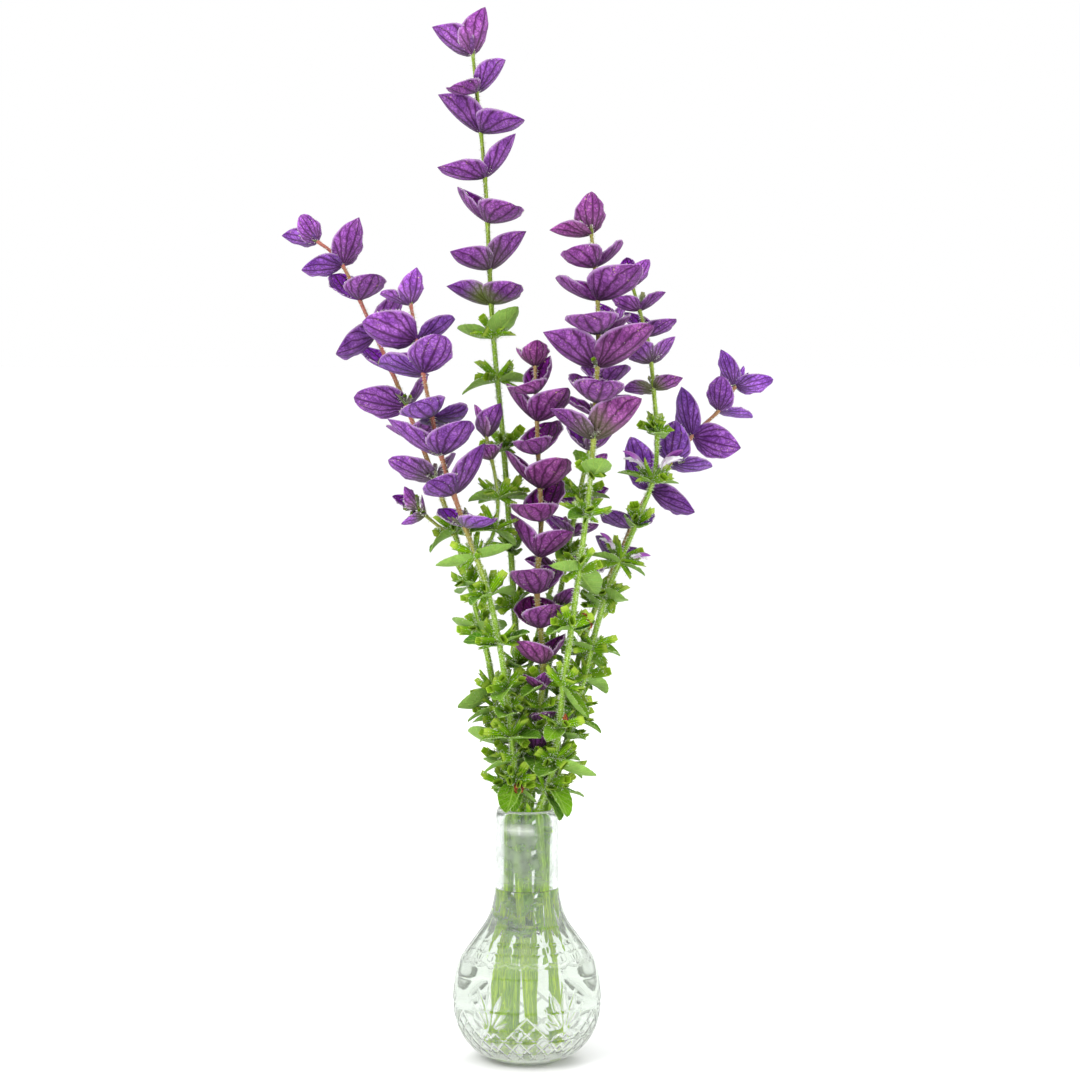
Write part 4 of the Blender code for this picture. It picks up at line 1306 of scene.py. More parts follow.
@dataclass(frozen=True)
class BladeStyle:
    """How finely a kind of blade is drawn, in mm."""

    skin: Skin
    columns: int = 8
    rows: int = 12
    thickness: float = 0.32
    ripple: float = 0.6
    tooth: float = 0.0
    taper: float = 0.35
    roundness: float = 0.54
    neck: float = 0.6
    hairs: int = 44

    def outline(self, sprout: Sprout, along: float) -> float:
        """Half the blade's width: rounded at its foot, drawn out to a point at its tip."""
        share = min(max(along, 0.0), 1.0)
        pointed = self.taper * (0.4 + 0.6 * math.sin(sprout.azimuth * 9))
        half = sprout.width / 2 * math.sin(math.pi * share ** 0.76) ** (self.roundness + pointed * share ** 3)
        return max(half, self.neck * (1 - share * 5))

    def draw(self, sprout: Sprout, tone: Vector, draw: random.Random) -> Shape:
        """The finished blade.

        Args:
            sprout: Where it grows and how it curves.
            tone: Hue, greenness and lightness.
            draw: Source of its small differences.

        Returns:
            The closed shell in mm, in place.
        """
        mesh = new_shape()
        bmesh.ops.create_grid(mesh, x_segments=self.columns, y_segments=self.rows, size=0.5)
        root = -SIZES.root_overlap / sprout.length
        phase, waves, seed = draw.uniform(0, math.tau), draw.uniform(2.0, 3.4), draw.uniform(0, 400)
        lean = draw.uniform(-0.5, 0.5)
        tip = []
        ripples: dict[bmesh.types.BMVert, float] = {}
        for vert in mesh.verts:
            row = round((vert.co.y + 0.5) * self.rows)
            share, sideways = 1 - (1 - row / self.rows) ** 1.35, 2 * vert.co.x
            along = root + (1 - root) * share
            half = self.outline(sprout, along)
            if self.tooth and abs(sideways) > 0.99 and 0 < row < self.rows:
                half += self.tooth * (0.5 if row % 2 else -0.5)
            if row == self.rows:
                tip.append(vert)
            edge = abs(sideways) ** 3 * math.sin(math.pi * min(max(along, 0), 1))
            side = 1 if sideways > 0 else -1
            ripples[vert] = self.ripple * (edge * math.sin(math.tau * waves * along + phase + side * lean * 3)
                                           + 0.5 * lean * math.sin(math.pi * along))
            vert.co = sprout.blade_point(along, sideways, half)
            flat = Vector((sideways * half, along * sprout.length, seed))
            mark(mesh, vert, place=Vector((sideways, along, 1)), tone=tone, flat=flat)
        bmesh.ops.pointmerge(mesh, verts=tip, merge_co=tip[len(tip) // 2].co)
        mesh.normal_update()
        up = sum((face.normal for face in mesh.faces), Vector())
        chord = sprout.lift + sprout.curl / 2
        raised = Matrix.Rotation(sprout.roll, 3, Vector((0, math.cos(chord), math.sin(chord))))
        if up.dot(raised @ Vector((0, -math.sin(chord), math.cos(chord)))) < 0:
            bmesh.ops.reverse_faces(mesh, faces=mesh.faces[:])
            mesh.normal_update()
        normals = {vert: vert.normal.copy() for vert in mesh.verts}
        for vert, normal in normals.items():
            vert.co += normal * (ripples[vert] + self.thickness / 2)
        top = set(mesh.verts)
        bmesh.ops.solidify(mesh, geom=mesh.faces[:], thickness=self.thickness)
        for vert in mesh.verts:
            if vert not in top:
                layer = mesh.verts.layers.float_vector["place"]
                vert[layer] = Vector((*vert[layer][:2], -1))
        bmesh.ops.transform(mesh, matrix=sprout.outward_frame(), verts=mesh.verts[:])
        face_out(mesh)
        return mesh


BRACT_STYLE = BladeStyle(Skin.BRACT)
BUD_STYLE = BladeStyle(Skin.BRACT, columns=6, rows=8, ripple=0.1, hairs=22)
LEAF_STYLE = BladeStyle(Skin.LEAF, columns=6, rows=14, ripple=0.35, tooth=0.22, taper=0.15, neck=0.5,
                        hairs=34)
HOOD_STYLE = BladeStyle(Skin.PETAL, columns=6, rows=8, thickness=0.25, ripple=0.1, taper=0.0, neck=1.0,
                        hairs=14)
LIP_STYLE = BladeStyle(Skin.PETAL, columns=6, rows=8, thickness=0.22, ripple=0.5, tooth=0.5, taper=-0.4,
                       neck=0.9, hairs=0)
WITHERED_STYLE = BladeStyle(Skin.WITHERED, columns=4, rows=10, thickness=0.22, ripple=0.5, tooth=0.4,
                            taper=-0.3, neck=0.5, hairs=0)


@dataclass(frozen=True)
class CalyxStyle:
    """How a calyx is drawn: a ribbed bell with five pointed teeth round an open mouth."""

    sides: int = 10
    profile: tuple[tuple[float, float], ...] = ((0.0, 0.3), (0.12, 0.56), (0.36, 0.78), (0.68, 0.9))
    rib: float = 0.05
    tooth: float = 0.24
    flare: float = 1.0
    hairs: int = 38

    def draw(self, sprout: Sprout, tone: Vector, draw: random.Random) -> Shape:
        """The finished calyx.

        Args:
            sprout: Where it grows; its length is taken up to the tips of the teeth.
            tone: Purple, unused, and lightness.
            draw: Source of its small differences.

        Returns:
            The closed shell in mm, in place.
        """
        mesh = new_shape()
        seed, opening = draw.uniform(0, 400), draw.uniform(0.82, 1.12)
        radius, length = sprout.width / 2 * 0.95, sprout.length * 1.06
        flattest = draw.uniform(0.32, 0.52)
        flat_share = 1.0
        bmesh.ops.create_circle(mesh, segments=self.sides, radius=1)
        ring = mesh.edges[:]
        rings = [(along, share, 1) for along, share in self.profile]
        rings += [(0.9, self.flare * opening, 1), (0.85, 0.72 * opening, -1), (0.72, 0.4, -1)]
        for number, (along, share, side) in enumerate(rings):
            if number:
                verts, ring = grow_ring(mesh, ring)
            else:
                verts = mesh.verts[:]
            before, flat_share = flat_share, 0.9 + (flattest - 0.9) * min(along / 0.9, 1.0)
            for vert in verts:
                angle = math.atan2(vert.co.y, vert.co.x / before)
                step = round(angle / math.tau * self.sides) % self.sides
                angle = step / self.sides * math.tau
                rise, out = along, share * (1 + self.rib * (1 if step % 2 else -1) * (number < 4))
                if number in (4, 5) and step % 2 == 0:
                    upper = step not in (0, 2, 8)
                    rise += self.tooth * (0.85 if upper else 0.5) * (1.0 if number == 4 else 0.9)
                    out *= (1.22 if upper else 1.1) if number == 4 else 1.25
                wide, deep = math.cos(angle) * out * radius, math.sin(angle) * out * radius
                vert.co = Vector((wide * flat_share, deep, rise * length))
                mark(mesh, vert, place=Vector((step / self.sides, rise, side)), tone=tone,
                     flat=Vector((angle * radius, rise * length, seed)))
        bmesh.ops.holes_fill(mesh, edges=mesh.edges[:], sides=self.sides)
        face_out(mesh)
        twist = Matrix.Rotation(draw.uniform(0, math.tau), 4, "Z")
        turn = sprout.outward_frame() @ sprout.along_axis() @ twist
        bmesh.ops.transform(mesh, matrix=turn, verts=mesh.verts[:])
        return mesh


CALYX_STYLE = CalyxStyle()


@dataclass(frozen=True)
class StalkStyle:
    """How a stalk is drawn: square with rounded corners and shallow faces, thicker where leaves join."""

    sides: int = 12
    step: float = 4.0
    corner: float = 0.93
    squareness: float = 0.08
    joint: float = 0.24
    joint_reach: float = 1.6

    def draw(self, stem: Stem, curve: Sequence[Vector], low: float, high: float) -> Shape:
        """A stretch of a stalk between two heights.

        Args:
            stem: The stalk.
            curve: Its middle line.
            low: Lower height.
            high: Upper height.

        Returns:
            The closed tube in mm.
        """
        joints = [entry[0] for entry in stem.bracts + stem.leaves] + list(stem.whorls)
        heights = {low, high}
        count = max(round((high - low) / self.step), 1)
        heights |= {low + (high - low) * step / count for step in range(count + 1)}
        heights |= {joint + shift for joint in joints for shift in (-1.5, 0, 1.5)
                    if low < joint + shift < high}
        levels = sorted(heights)
        levels = [level for level, after in zip(levels, levels[1:] + [math.inf]) if after - level > 0.4]
        points = [at_height(curve, level)[0] for level in levels]
        radii = []
        for level in levels:
            swell = max([math.exp(-((level - joint) / self.joint_reach) ** 2) for joint in joints] + [0.0])
            radii.append(stem.radius_at(curve, level) * (1 + self.joint * swell))
        mesh = new_shape()
        pour(tube(points, radii, self.sides), mesh)
        spike, seed = stem.bracts[-1][0], len(stem.name) * 7 + ord(stem.name[-1])
        for vert in mesh.verts:
            nearest = min(range(len(points)), key=lambda index: (points[index] - vert.co).length_squared)
            middle = points[nearest]
            tangent = (points[min(nearest + 1, len(points) - 1)] - points[max(nearest - 1, 0)]).normalized()
            right, away = across(tangent)
            arm = vert.co - middle
            angle = math.atan2(arm.dot(away), arm.dot(right))
            vert.co = middle + arm * (self.corner + self.squareness * math.cos(4 * angle))
            flush = stem.flush * step_up(spike - 40, spike + 30, middle.z)
            # Painted light: below the rim the stalk's lightness is raised by half, where the glass keeps the
            # lamps off; below the water line it takes the soaked colours, which are partly painted light
            wet_and_lit, light = 1 - step_up(86, 94, middle.z), 1.5 - 0.5 * step_up(120, 132, middle.z)
            mark(mesh, vert, place=Vector((angle / math.tau, middle.z, 1)), tone=Vector((flush, wet_and_lit, light)),
                 flat=Vector((angle * radii[nearest] * 0.9, middle.z, seed)))
        return mesh


STALK_STYLE = StalkStyle()


@dataclass
class Down:
    """Fine hairs: thin cones set on what they grow from, all made from one."""

    thickness: float = 0.15
    roots: list[Vector] = field(default_factory=list)
    tips: list[Vector] = field(default_factory=list)

    def plant(self, root: Vector, direction: Vector, length: float) -> None:
        """Sets one hair."""
        self.roots.append(root)
        self.tips.append(root + direction.normalized() * length)

    def on_blade(self, sprout: Sprout, style: BladeStyle, draw: random.Random) -> None:
        """Sets hairs along a blade's edge, and a few on its back."""
        place = sprout.outward_frame()
        for index in range(style.hairs):
            along = draw.uniform(0.03, 0.98)
            back = index % 4 == 3
            sideways = draw.choice((-1, 1)) * (draw.uniform(0.1, 0.95) if back else 1.0)
            half = style.outline(sprout, along)
            root = place @ sprout.blade_point(along, sideways, half)
            inner = place @ sprout.blade_point(max(along - 0.05, 0), sideways * 0.8, half)
            ahead = place @ sprout.blade_point(min(along + 0.05, 1), sideways, half)
            outward = (root - inner).normalized()
            if back:
                outward = -(outward.cross(ahead - root)).normalized() * (1 if sideways < 0 else -1)
            spread = Vector((draw.gauss(0, 0.3), draw.gauss(0, 0.3), draw.gauss(0, 0.3)))
            self.plant(root - outward * 0.1, outward + spread, draw.uniform(0.5, 1.0))

    def on_calyx(self, sprout: Sprout, style: CalyxStyle, draw: random.Random) -> None:
        """Sets hairs round a calyx."""
        turn = sprout.outward_frame() @ sprout.along_axis()
        for _ in range(style.hairs):
            along, angle = draw.uniform(0.12, 0.95), draw.uniform(0, math.tau)
            radius = sprout.width / 2 * 0.9 * min(0.4 + along * 1.0, 1.0) * 0.88
            around = Vector((math.cos(angle), math.sin(angle), 0))
            root = turn @ (around * radius + Vector((0, 0, along * sprout.length)))
            lean = around + Vector((draw.gauss(0, 0.25), draw.gauss(0, 0.25), draw.uniform(0.2, 0.9)))
            self.plant(root, turn.to_3x3() @ lean, draw.uniform(0.6, 1.3))

    def on_stalk(self, stem: Stem, curve: Sequence[Vector], low: float, high: float, density: float,
                 draw: random.Random) -> None:
        """Sets hairs round a stretch of stalk.

        Args:
            stem: The stalk.
            curve: Its middle line.
            low: Lower height.
            high: Upper height.
            density: Hairs for each mm.
            draw: Source of their places.
        """
        for _ in range(int((high - low) * density)):
            height = draw.uniform(low, high)
            point, tangent = at_height(curve, height)
            right, away = across(tangent)
            angle = draw.uniform(0, math.tau)
            around = right * math.cos(angle) + away * math.sin(angle)
            square = STALK_STYLE.corner + STALK_STYLE.squareness * math.cos(4 * angle)
            radius = stem.radius_at(curve, height) * square
            lean = around + tangent * draw.uniform(-0.45, 0.3)
            lean += Vector((draw.gauss(0, 0.2), draw.gauss(0, 0.2), 0))
            self.plant(point + around * (radius - 0.12), lean, draw.uniform(0.8, 2.0))

    def grow(self, name: str, material: bpy.types.Material) -> bpy.types.Object:
        """Makes all the hairs as one piece.

        Args:
            name: Its name.
            material: Its finish.

        Returns:
            The piece.
        """
        mesh = bmesh.new()
        bmesh.ops.create_cone(mesh, cap_ends=True, segments=3, radius1=1, radius2=0, depth=1,
                              matrix=Matrix.Translation((0, 0, 0.5)))
        bmesh.ops.remove_doubles(mesh, verts=mesh.verts[:], dist=1e-4)
        face_out(mesh)
        made = make_object(name, mesh, [material], 180)
        single = len(made.data.vertices)
        copies = made.modifiers.new("copies", "ARRAY")
        copies.count = len(self.roots)
        copies.use_relative_offset = False
        copies.use_constant_offset = True
        copies.constant_offset_displace = (0, 0, 0)
        bpy.context.view_layer.update()
        graph = bpy.context.evaluated_depsgraph_get()
        data = bpy.data.meshes.new_from_object(made.evaluated_get(graph))
        made.modifiers.clear()
        made.data = data
        places = np.zeros(len(data.vertices) * 3, dtype=np.float32)
        data.vertices.foreach_get("co", places)
        places = places.reshape(len(self.roots), single, 3)
        for index, (root, tip) in enumerate(zip(self.roots, self.tips)):
            axis = tip - root
            turn = axis.to_track_quat("Z", "X").to_matrix()
            stretched = turn @ Matrix.Diagonal((self.thickness, self.thickness, axis.length))
            places[index] = places[index] @ np.array(stretched.transposed()) + np.array(root) * MM
        data.vertices.foreach_set("co", places.reshape(-1))
        data.update()
        return made


# The parts of the bunch


@dataclass
class Plants:
    """All the sage: stalks with whorls, spikes of bracts, flowers and down."""

    arrangement: Arrangement = field(default_factory=Arrangement)
    withered_at: tuple[tuple[float, float], ...] = ((32.5, 229), (-17, 164.5), (-3.5, 140.5), (24.5, 169.5),
                                                    (25, 160.5))
    bare_below: float = 128.0
    stalk_hairs: float = 11.0
    spike_hairs: float = 6.0
    # Painted light: how much brighter the colours of sprouts sunk in the vase are made, as the glass keeps the
    # lamps off them
    painted_light_in_glass: float = 2.1

    def plan(self, vase: Shape) -> None:
        """Finds every place, clear of the vase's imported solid, given in mm."""
        room = Room()
        room.take("vase", vase)
        self.arrangement.lay_out(room)
        self.arrangement.fill_in(room)
        LOG.info("placed %d sprouts", sum(len(grown) for grown in self.arrangement.sprouts.values()))

    def tone_of(self, stem: Stem, sprout: Sprout, draw: random.Random) -> Vector:
        """Hue, greenness and lightness of one sprout; for one sunk in the vase the lightness carries painted
        light.
        """
        sunk = sprout.point.z < SIZES.vase_top - 2
        # Painted light for sprouts sunk in the vase, standing in for the lamps that the glass keeps off
        light = draw.uniform(0.86, 1.14) * (self.painted_light_in_glass if sunk else 1.0)
        if sprout.kind is Kind.BRACT:
            light *= 1.12 - 0.36 * stem.hue
            lowest = stem.bracts[-1][0]
            low = math.exp(-max(sprout.point.z - lowest, 0) / 16)
            hue = min(max(stem.hue + draw.uniform(-0.18, 0.18), 0.0), 1.0)
            top = step_up(stem.bracts[0][0] - 22, stem.bracts[0][0], sprout.point.z)
            return Vector((hue, min(stem.greenness * low + 0.12 * top, 1.0), light * (1 + 0.3 * top)))
        if sprout.kind is Kind.BUD:
            return Vector((stem.hue * 0.6, 0.9, 1.6))
        if sprout.kind is Kind.LEAF:
            return Vector((draw.uniform(0.0, 0.9), 0, light))
        low = stem.bracts[-1][0]
        purple = 0.75 if sprout.point.z > low - 2 else 0.0
        return Vector((purple * draw.uniform(0.5, 1.2), 0, light))

    def grow_sprout(self, gathered: Gathered, down: Down, stem: Stem, sprout: Sprout,
                    draw: random.Random) -> None:
        """Adds one finished sprout to its piece, and its hairs to those of its stalk.

        Args:
            gathered: Mesh of the piece.
            down: Hairs of the stalk.
            stem: The stalk.
            sprout: Where it grows.
            draw: Source of its small differences.
        """
        tone = self.tone_of(stem, sprout, draw)
        if sprout.kind in (Kind.BRACT, Kind.LEAF):
            style = BRACT_STYLE if sprout.kind is Kind.BRACT else LEAF_STYLE
            gathered.add(style.draw(sprout, tone, draw), style.skin)
            down.on_blade(sprout, style, draw)
        elif sprout.kind is Kind.CALYX:
            gathered.add(CALYX_STYLE.draw(sprout, tone, draw), Skin.CALYX)
            down.on_calyx(sprout, CALYX_STYLE, draw)
        elif sprout.kind is Kind.BUD:
            self.grow_bud(gathered, down, sprout, tone, draw)
        else:
            self.grow_flower(gathered, down, sprout, draw)

    def grow_bud(self, gathered: Gathered, down: Down, sprout: Sprout, tone: Vector,
                 draw: random.Random) -> None:
        """Adds the folded young bracts at a tip."""
        for index, size in enumerate((1.0, 0.86, 0.68)):
            young = replace(sprout, kind=Kind.BRACT, azimuth=sprout.azimuth + index * 2.2,
                            length=sprout.length * 1.3 * size, width=sprout.width * 1.7 * size,
                            lift=math.radians(58 + 9 * index), curl=0.5, fold=1.5)
            gathered.add(BUD_STYLE.draw(young, tone, draw), Skin.BRACT)
            down.on_blade(young, BUD_STYLE, draw)

    def grow_flower(self, gathered: Gathered, down: Down, sprout: Sprout, draw: random.Random) -> None:
        """Adds an open flower: calyx, lilac hood and white lip."""
        reach = min(0.55 * sprout.length, 9.5)
        calyx = replace(sprout, kind=Kind.CALYX, length=reach, width=4.6)
        gathered.add(CALYX_STYLE.draw(calyx, Vector((0.2, 0, 1)), draw), Skin.CALYX)
        down.on_calyx(calyx, CALYX_STYLE, draw)
        mouth = sprout.outward_frame() @ (sprout.direction() * reach * 0.72)
        left = sprout.length - reach * 0.72
        hood = replace(sprout, kind=Kind.LEAF, point=mouth, length=left * 1.1, width=8.4,
                       lift=sprout.lift + 0.7, curl=-1.7, fold=-1.25)
        gathered.add(HOOD_STYLE.draw(hood, Vector((1.0, 0, 1)), draw), Skin.PETAL)
        for turn, width, tint in ((0, 6.6, 0.0), (-0.6, 4.2, 0.3), (0.6, 4.2, 0.3)):
            lip = replace(hood, length=left * (0.72 if turn else 0.85), width=width, curl=-1.1, fold=0.9,
                          azimuth=sprout.azimuth + turn, lift=sprout.lift + 0.15)
            gathered.add(LIP_STYLE.draw(lip, Vector((tint, 0, 1)), draw), Skin.PETAL)

    def withered(self) -> dict[int, Sprout]:
        """The calyces that hold a withered flower, by the identity of their sprout."""
        calyces = [sprout for grown in self.arrangement.sprouts.values() for _, sprout in grown
                   if sprout.kind is Kind.CALYX]
        chosen = {}
        for place in self.withered_at:
            best = min(calyces, key=lambda sprout: self.astray(sprout, *place))
            chosen[id(best)] = best
        return chosen

    def astray(self, sprout: Sprout, x: float, z: float) -> float:
        """How far a calyx's mouth is seen from a place, and a little more if it is behind."""
        mouth = sprout.outward_frame() @ (sprout.direction() * sprout.length)
        return math.hypot(mouth.x - x, mouth.z - z) + 0.25 * mouth.y

    def dress(self) -> None:
        """Makes every piece of the plants."""
        materials = [skin.value().material() for skin in Skin]
        down_skin = DownSkin().material()
        withered = self.withered()
        downs = {stem.name: Down() for stem in STEMS}
        for node, grown in self.arrangement.sprouts.items():
            draw = random.Random(node)
            gathered = Gathered()
            for stem in STEMS:
                self.add_stalk(gathered, downs[stem.name], stem, node, draw)
            for stem, sprout in grown:
                down = downs[stem.name]
                self.grow_sprout(gathered, down, stem, sprout, draw)
                if id(sprout) in withered:
                    self.add_withered(gathered, sprout, draw)
            name = node.replace("_bracts", "_spike").replace("_stalk", "_whorls")
            piece = make_object(name, gathered.mesh, materials)
            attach(piece, "root")
            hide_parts(node)
        for name, down in downs.items():
            piece = down.grow(name + "_down", down_skin)
            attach(piece, "root")

    def add_stalk(self, gathered: Gathered, down: Down, stem: Stem, node: str, draw: random.Random) -> None:
        """Adds the stretch of a stalk that belongs to a node."""
        curve, split = self.arrangement.curves[stem.name], self.arrangement.splits[stem.name]
        top = stem.top(curve)
        if node == stem.lower:
            gathered.add(STALK_STYLE.draw(stem, curve, curve[0].z, split), Skin.STALK)
            down.on_stalk(stem, curve, max(self.bare_below, curve[0].z), split, self.stalk_hairs, draw)
        if node == stem.upper:
            gathered.add(STALK_STYLE.draw(stem, curve, split, top), Skin.STALK)
            down.on_stalk(stem, curve, split, top, self.spike_hairs, draw)

    def add_withered(self, gathered: Gathered, calyx: Sprout, draw: random.Random) -> None:
        """Adds a withered flower in the mouth of a calyx."""
        mouth = calyx.outward_frame() @ (calyx.direction() * calyx.length * 0.7)
        for turn in (-0.5, 0.6):
            curled = replace(calyx, kind=Kind.LEAF, point=mouth, length=draw.uniform(6, 8), width=2.4,
                             azimuth=calyx.azimuth + turn,
                             curl=draw.choice((-1, 1)) * draw.uniform(2.2, 3.6), fold=1.2)
            gathered.add(WITHERED_STYLE.draw(curled, Vector((0, 0, 1)), draw), Skin.WITHERED)


@dataclass
class CutGlassVase:
    """The bottle-shaped vase in mm: fluted shoulder, cut ring, fans of rays and fields of crossed cuts."""

    outside: list[tuple[float, float]] = field(default_factory=lambda: [
        (16.5, 0), (26.5, 5.5), (33, 13.5), (36.3, 23), (37, 33), (35.8, 43), (32.8, 52), (26.2, 61.5),
        (19.8, 71), (16.7, 81), (15.7, 92), (15.5, 122)])
    inside: list[tuple[float, float]] = field(default_factory=lambda: [
        (12.8, 122), (12.9, 92), (14, 81), (17, 70.5), (23.5, 60.5), (30, 49.5), (33.2, 35), (32.4, 23),
        (28, 14), (19, 8.5), (13, 7)])
    steps: int = 384
    plain_steps: int = 24
    water_steps: int = 144
    row: float = 0.65
    neck_row: float = 3.0
    inner_row: float = 4.0
    flutes: int = 18
    flute_depth: float = 0.6
    flute_start: float = 2.2
    flute_top: float = 87.0
    ring_height: float = 53.0
    ring_width: float = 2.0
    ring_depth: float = 0.55
    scallop: float = 1.4
    fan_base: float = 20.0
    rays: tuple[float, ...] = (13, 19, 24, 27, 24, 19, 13)
    ray_turn: float = math.radians(19)
    ray_start: float = 3.0
    ray_width: float = 3.5
    ray_slope: float = 0.32
    line_width: float = 2.0
    line_depth: float = 0.42
    water_level: float = 86.0
    overlap: float = 0.15

    def lip(self, segments: int) -> list[tuple[float, float]]:
        """The rolled lip between the outer and the inner wall."""
        (outer, height), (inner, _) = self.outside[-1], self.inside[0]
        radius = (outer - inner) / 2
        stretch = (SIZES.vase_top - height) / radius
        return [(outer - radius + radius * math.cos(math.pi * step / segments),
                 height + stretch * radius * math.sin(math.pi * step / segments))
                for step in range(1, segments)]

    def packed_solid(self) -> Shape:
        """The vase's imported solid, for testing what the plants would touch."""
        return self.turned(self.outside + self.lip(4) + self.inside, self.plain_steps, fill=True)

    def turned(self, outline: Sequence[tuple[float, float]], steps: int, fill: bool = False) -> Shape:
        """A solid of revolution.

        Args:
            outline: Radii and heights.
            steps: Steps of the turn.
            fill: Whether its open ends get a flat disc.

        Returns:
            The closed solid.
        """
        mesh = bmesh.new()
        verts = [mesh.verts.new((radius, 0, height)) for radius, height in outline]
        edges = [mesh.edges.new(pair) for pair in zip(verts, verts[1:])]
        bmesh.ops.spin(mesh, geom=verts + edges, cent=(0, 0, 0), axis=(0, 0, 1), angle=math.tau, steps=steps,
                       use_merge=True)
        bmesh.ops.remove_doubles(mesh, verts=mesh.verts[:], dist=1e-4)
        if fill:
            bmesh.ops.holes_fill(mesh, edges=mesh.edges[:], sides=steps)
        face_out(mesh)
        return mesh

    def smooth(self, outline: Sequence[tuple[float, float]], spacing: float) -> list[tuple[float, float]]:
        """An outline smoothed and read at even spacing."""
        fine = spline([Vector((radius, 0, height)) for radius, height in outline], 120)
        read, left = [fine[0]], 0.0
        for start, end in zip(fine, fine[1:]):
            left += (end - start).length
            if left >= spacing:
                read.append(end)
                left = 0.0
        read[-1] = fine[-1]
        return [(point.x, point.z) for point in read]

    def groove(self, distance: float, width: float, depth: float) -> float:
        """Depth of a V cut at a distance from its middle line."""
        return depth * max(0.0, 1 - abs(distance) / (width / 2))

    def cut(self, angle: float, height: float) -> float:
        """How deep the cutting goes at a place on the outer wall.

        Args:
            angle: Turn from the front, in radians.
            height: Height above the foot.

        Returns:
            Depth in mm.
        """
        sector = math.tau / CUTTING.sectors
        turned = angle / sector - math.floor(angle / sector) - 0.5
        from_fan, from_field = turned * sector, (0.5 - abs(turned)) * sector
        return max(self.flute_cut(angle, height),
                   self.ray_cut(from_fan * CUTTING.widest, height - self.fan_base),
                   self.crossed_cut(from_field * CUTTING.widest, height))

    def flute_cut(self, angle: float, height: float) -> float:
        """Depth of the scalloped ring and of the flutes that rise from it to the neck."""
        part = angle / math.tau * self.flutes
        aside = 2 * (part - math.floor(part) - 0.5)
        foot = self.ring_height + self.scallop * aside * aside - 0.4
        ring = self.groove(height - foot, self.ring_width, self.ring_depth)
        taper = 1 - step_up(foot, self.flute_top, height) ** 1.2
        if height <= foot or taper <= 0:
            return ring
        hollow = self.flute_depth * max(0.0, 1 - (aside / taper) ** 2) * taper ** 0.5
        return max(ring, hollow * step_up(foot, foot + self.flute_start, height))

    def ray_cut(self, x: float, z: float) -> float:
        """Depth of a fan's pointed rays, at a place across and above the fan's base."""
        away, deepest = math.hypot(x, z), 0.0
        for index, length in enumerate(self.rays):
            lean = (index - (len(self.rays) - 1) / 2) * self.ray_turn
            share = (away - self.ray_start) / (length - self.ray_start)
            if 0 < share < 1:
                off = math.remainder(math.atan2(x, z) - lean, math.tau) * away
                width = self.ray_width * math.sin(math.pi * share ** 0.8) ** 1.15
                if width > 0.1:
                    deepest = max(deepest, self.groove(off, width, self.ray_slope * width))
        return deepest

    def crossed_cut(self, aside: float, height: float) -> float:
        """Depth of the crossed lines, at a place across from the middle of their field and a height."""
        edge = max(CUTTING.apex - aside, CUTTING.lowest) + 0.6
        deepest = self.line_depth * step_up(5, 8, height) * step_up(edge, edge - 0.6, height)
        share = 0.0
        for line in (aside + height - CUTTING.apex, aside - height + CUTTING.apex):
            off = abs(math.remainder(line / math.sqrt(2), CUTTING.pitch)) / (self.line_width / 2)
            share = max(share, 0.5 + 0.5 * math.cos(math.pi * min(off, 1.0)))
        return deepest * share

    def carve(self, mesh: Shape, wall: Sequence[tuple[float, float]]) -> None:
        """Presses the cutting into the outer wall, and marks for the finish where it is.

        Args:
            mesh: The turned vase.
            wall: Radii and heights of its outer wall, from the foot up.
        """
        slope = {round(radius, 3): (after[1] - before[1], before[0] - after[0])
                 for before, (radius, _), after in zip(wall, wall[1:], wall[2:])}
        walls = {(round(radius, 3), round(height, 3)) for radius, height in wall}
        layer = mesh.verts.layers.float_vector.new("cut")
        for vert in mesh.verts:
            radius, height = math.hypot(vert.co.x, vert.co.y), vert.co.z
            outer = round(radius, 3)
            on_wall = (outer, round(height, 3)) in walls or height < 5
            vert[layer] = Vector((0, 1.0 if on_wall and height < self.outside[-1][1] + 0.1 else 0.0, 0))
            if not (3 < height < self.flute_top + 1 and outer in slope and radius > 15.9):
                continue
            depth = self.cut(math.atan2(vert.co.x, -vert.co.y), height)
            if depth:
                vert[layer] = Vector((min(depth, 1.0) if height < self.ring_height + 2 else 0.0, 1, 0))
                normal = Vector(slope[outer]).normalized()
                inward = radius - depth * normal.x
                vert.co = Vector((vert.co.x / radius * inward, vert.co.y / radius * inward,
                                  height - depth * normal.y))

    def dress(self) -> None:
        """Makes the cut-glass vase, which stands for its node."""
        close, wide = self.smooth(self.outside, self.row), self.smooth(self.outside, self.neck_row)
        wall = [place for place in close if place[1] < self.flute_top + 2]
        wall += [place for place in wide if place[1] > self.flute_top + 4]
        under = [(0.0, 0.9), (9.0, 0.7), (14.5, 0.15), (15.6, 0.0)]
        bottom = [(6.5, 7.2), (0.0, 7.6)]
        mesh = self.turned(under + wall + self.lip(10) + self.smooth(self.inside, self.inner_row) + bottom,
                           self.steps)
        self.carve(mesh, wall)
        piece = make_object("cut_glass_vase", mesh, [CutGlassFinish().material()], 60)
        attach(piece, "root")
        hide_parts("vase")

    def fill(self) -> None:
        """Makes the water, whose skin lies just inside the glass and climbs a little at its edge."""
        wall = [(radius + self.overlap, height - (self.overlap if height < 12 else 0))
                for radius, height in reversed(self.smooth(self.inside, 2.0))
                if height < self.water_level + 0.6]
        edge = wall[-1][0]
        surface = [(edge - inward, self.water_level + rise)
                   for inward, rise in ((0, 0.7), (0.4, 0.4), (1.1, 0.18), (2.4, 0), (edge, 0))]
        mesh = self.turned([(0.0, 7.45), (6.5, 7.05)] + wall + surface, self.water_steps)
        piece = make_object("vase_water", mesh, [WaterFinish().material()], 80)
        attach(piece, "root")
        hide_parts("water")


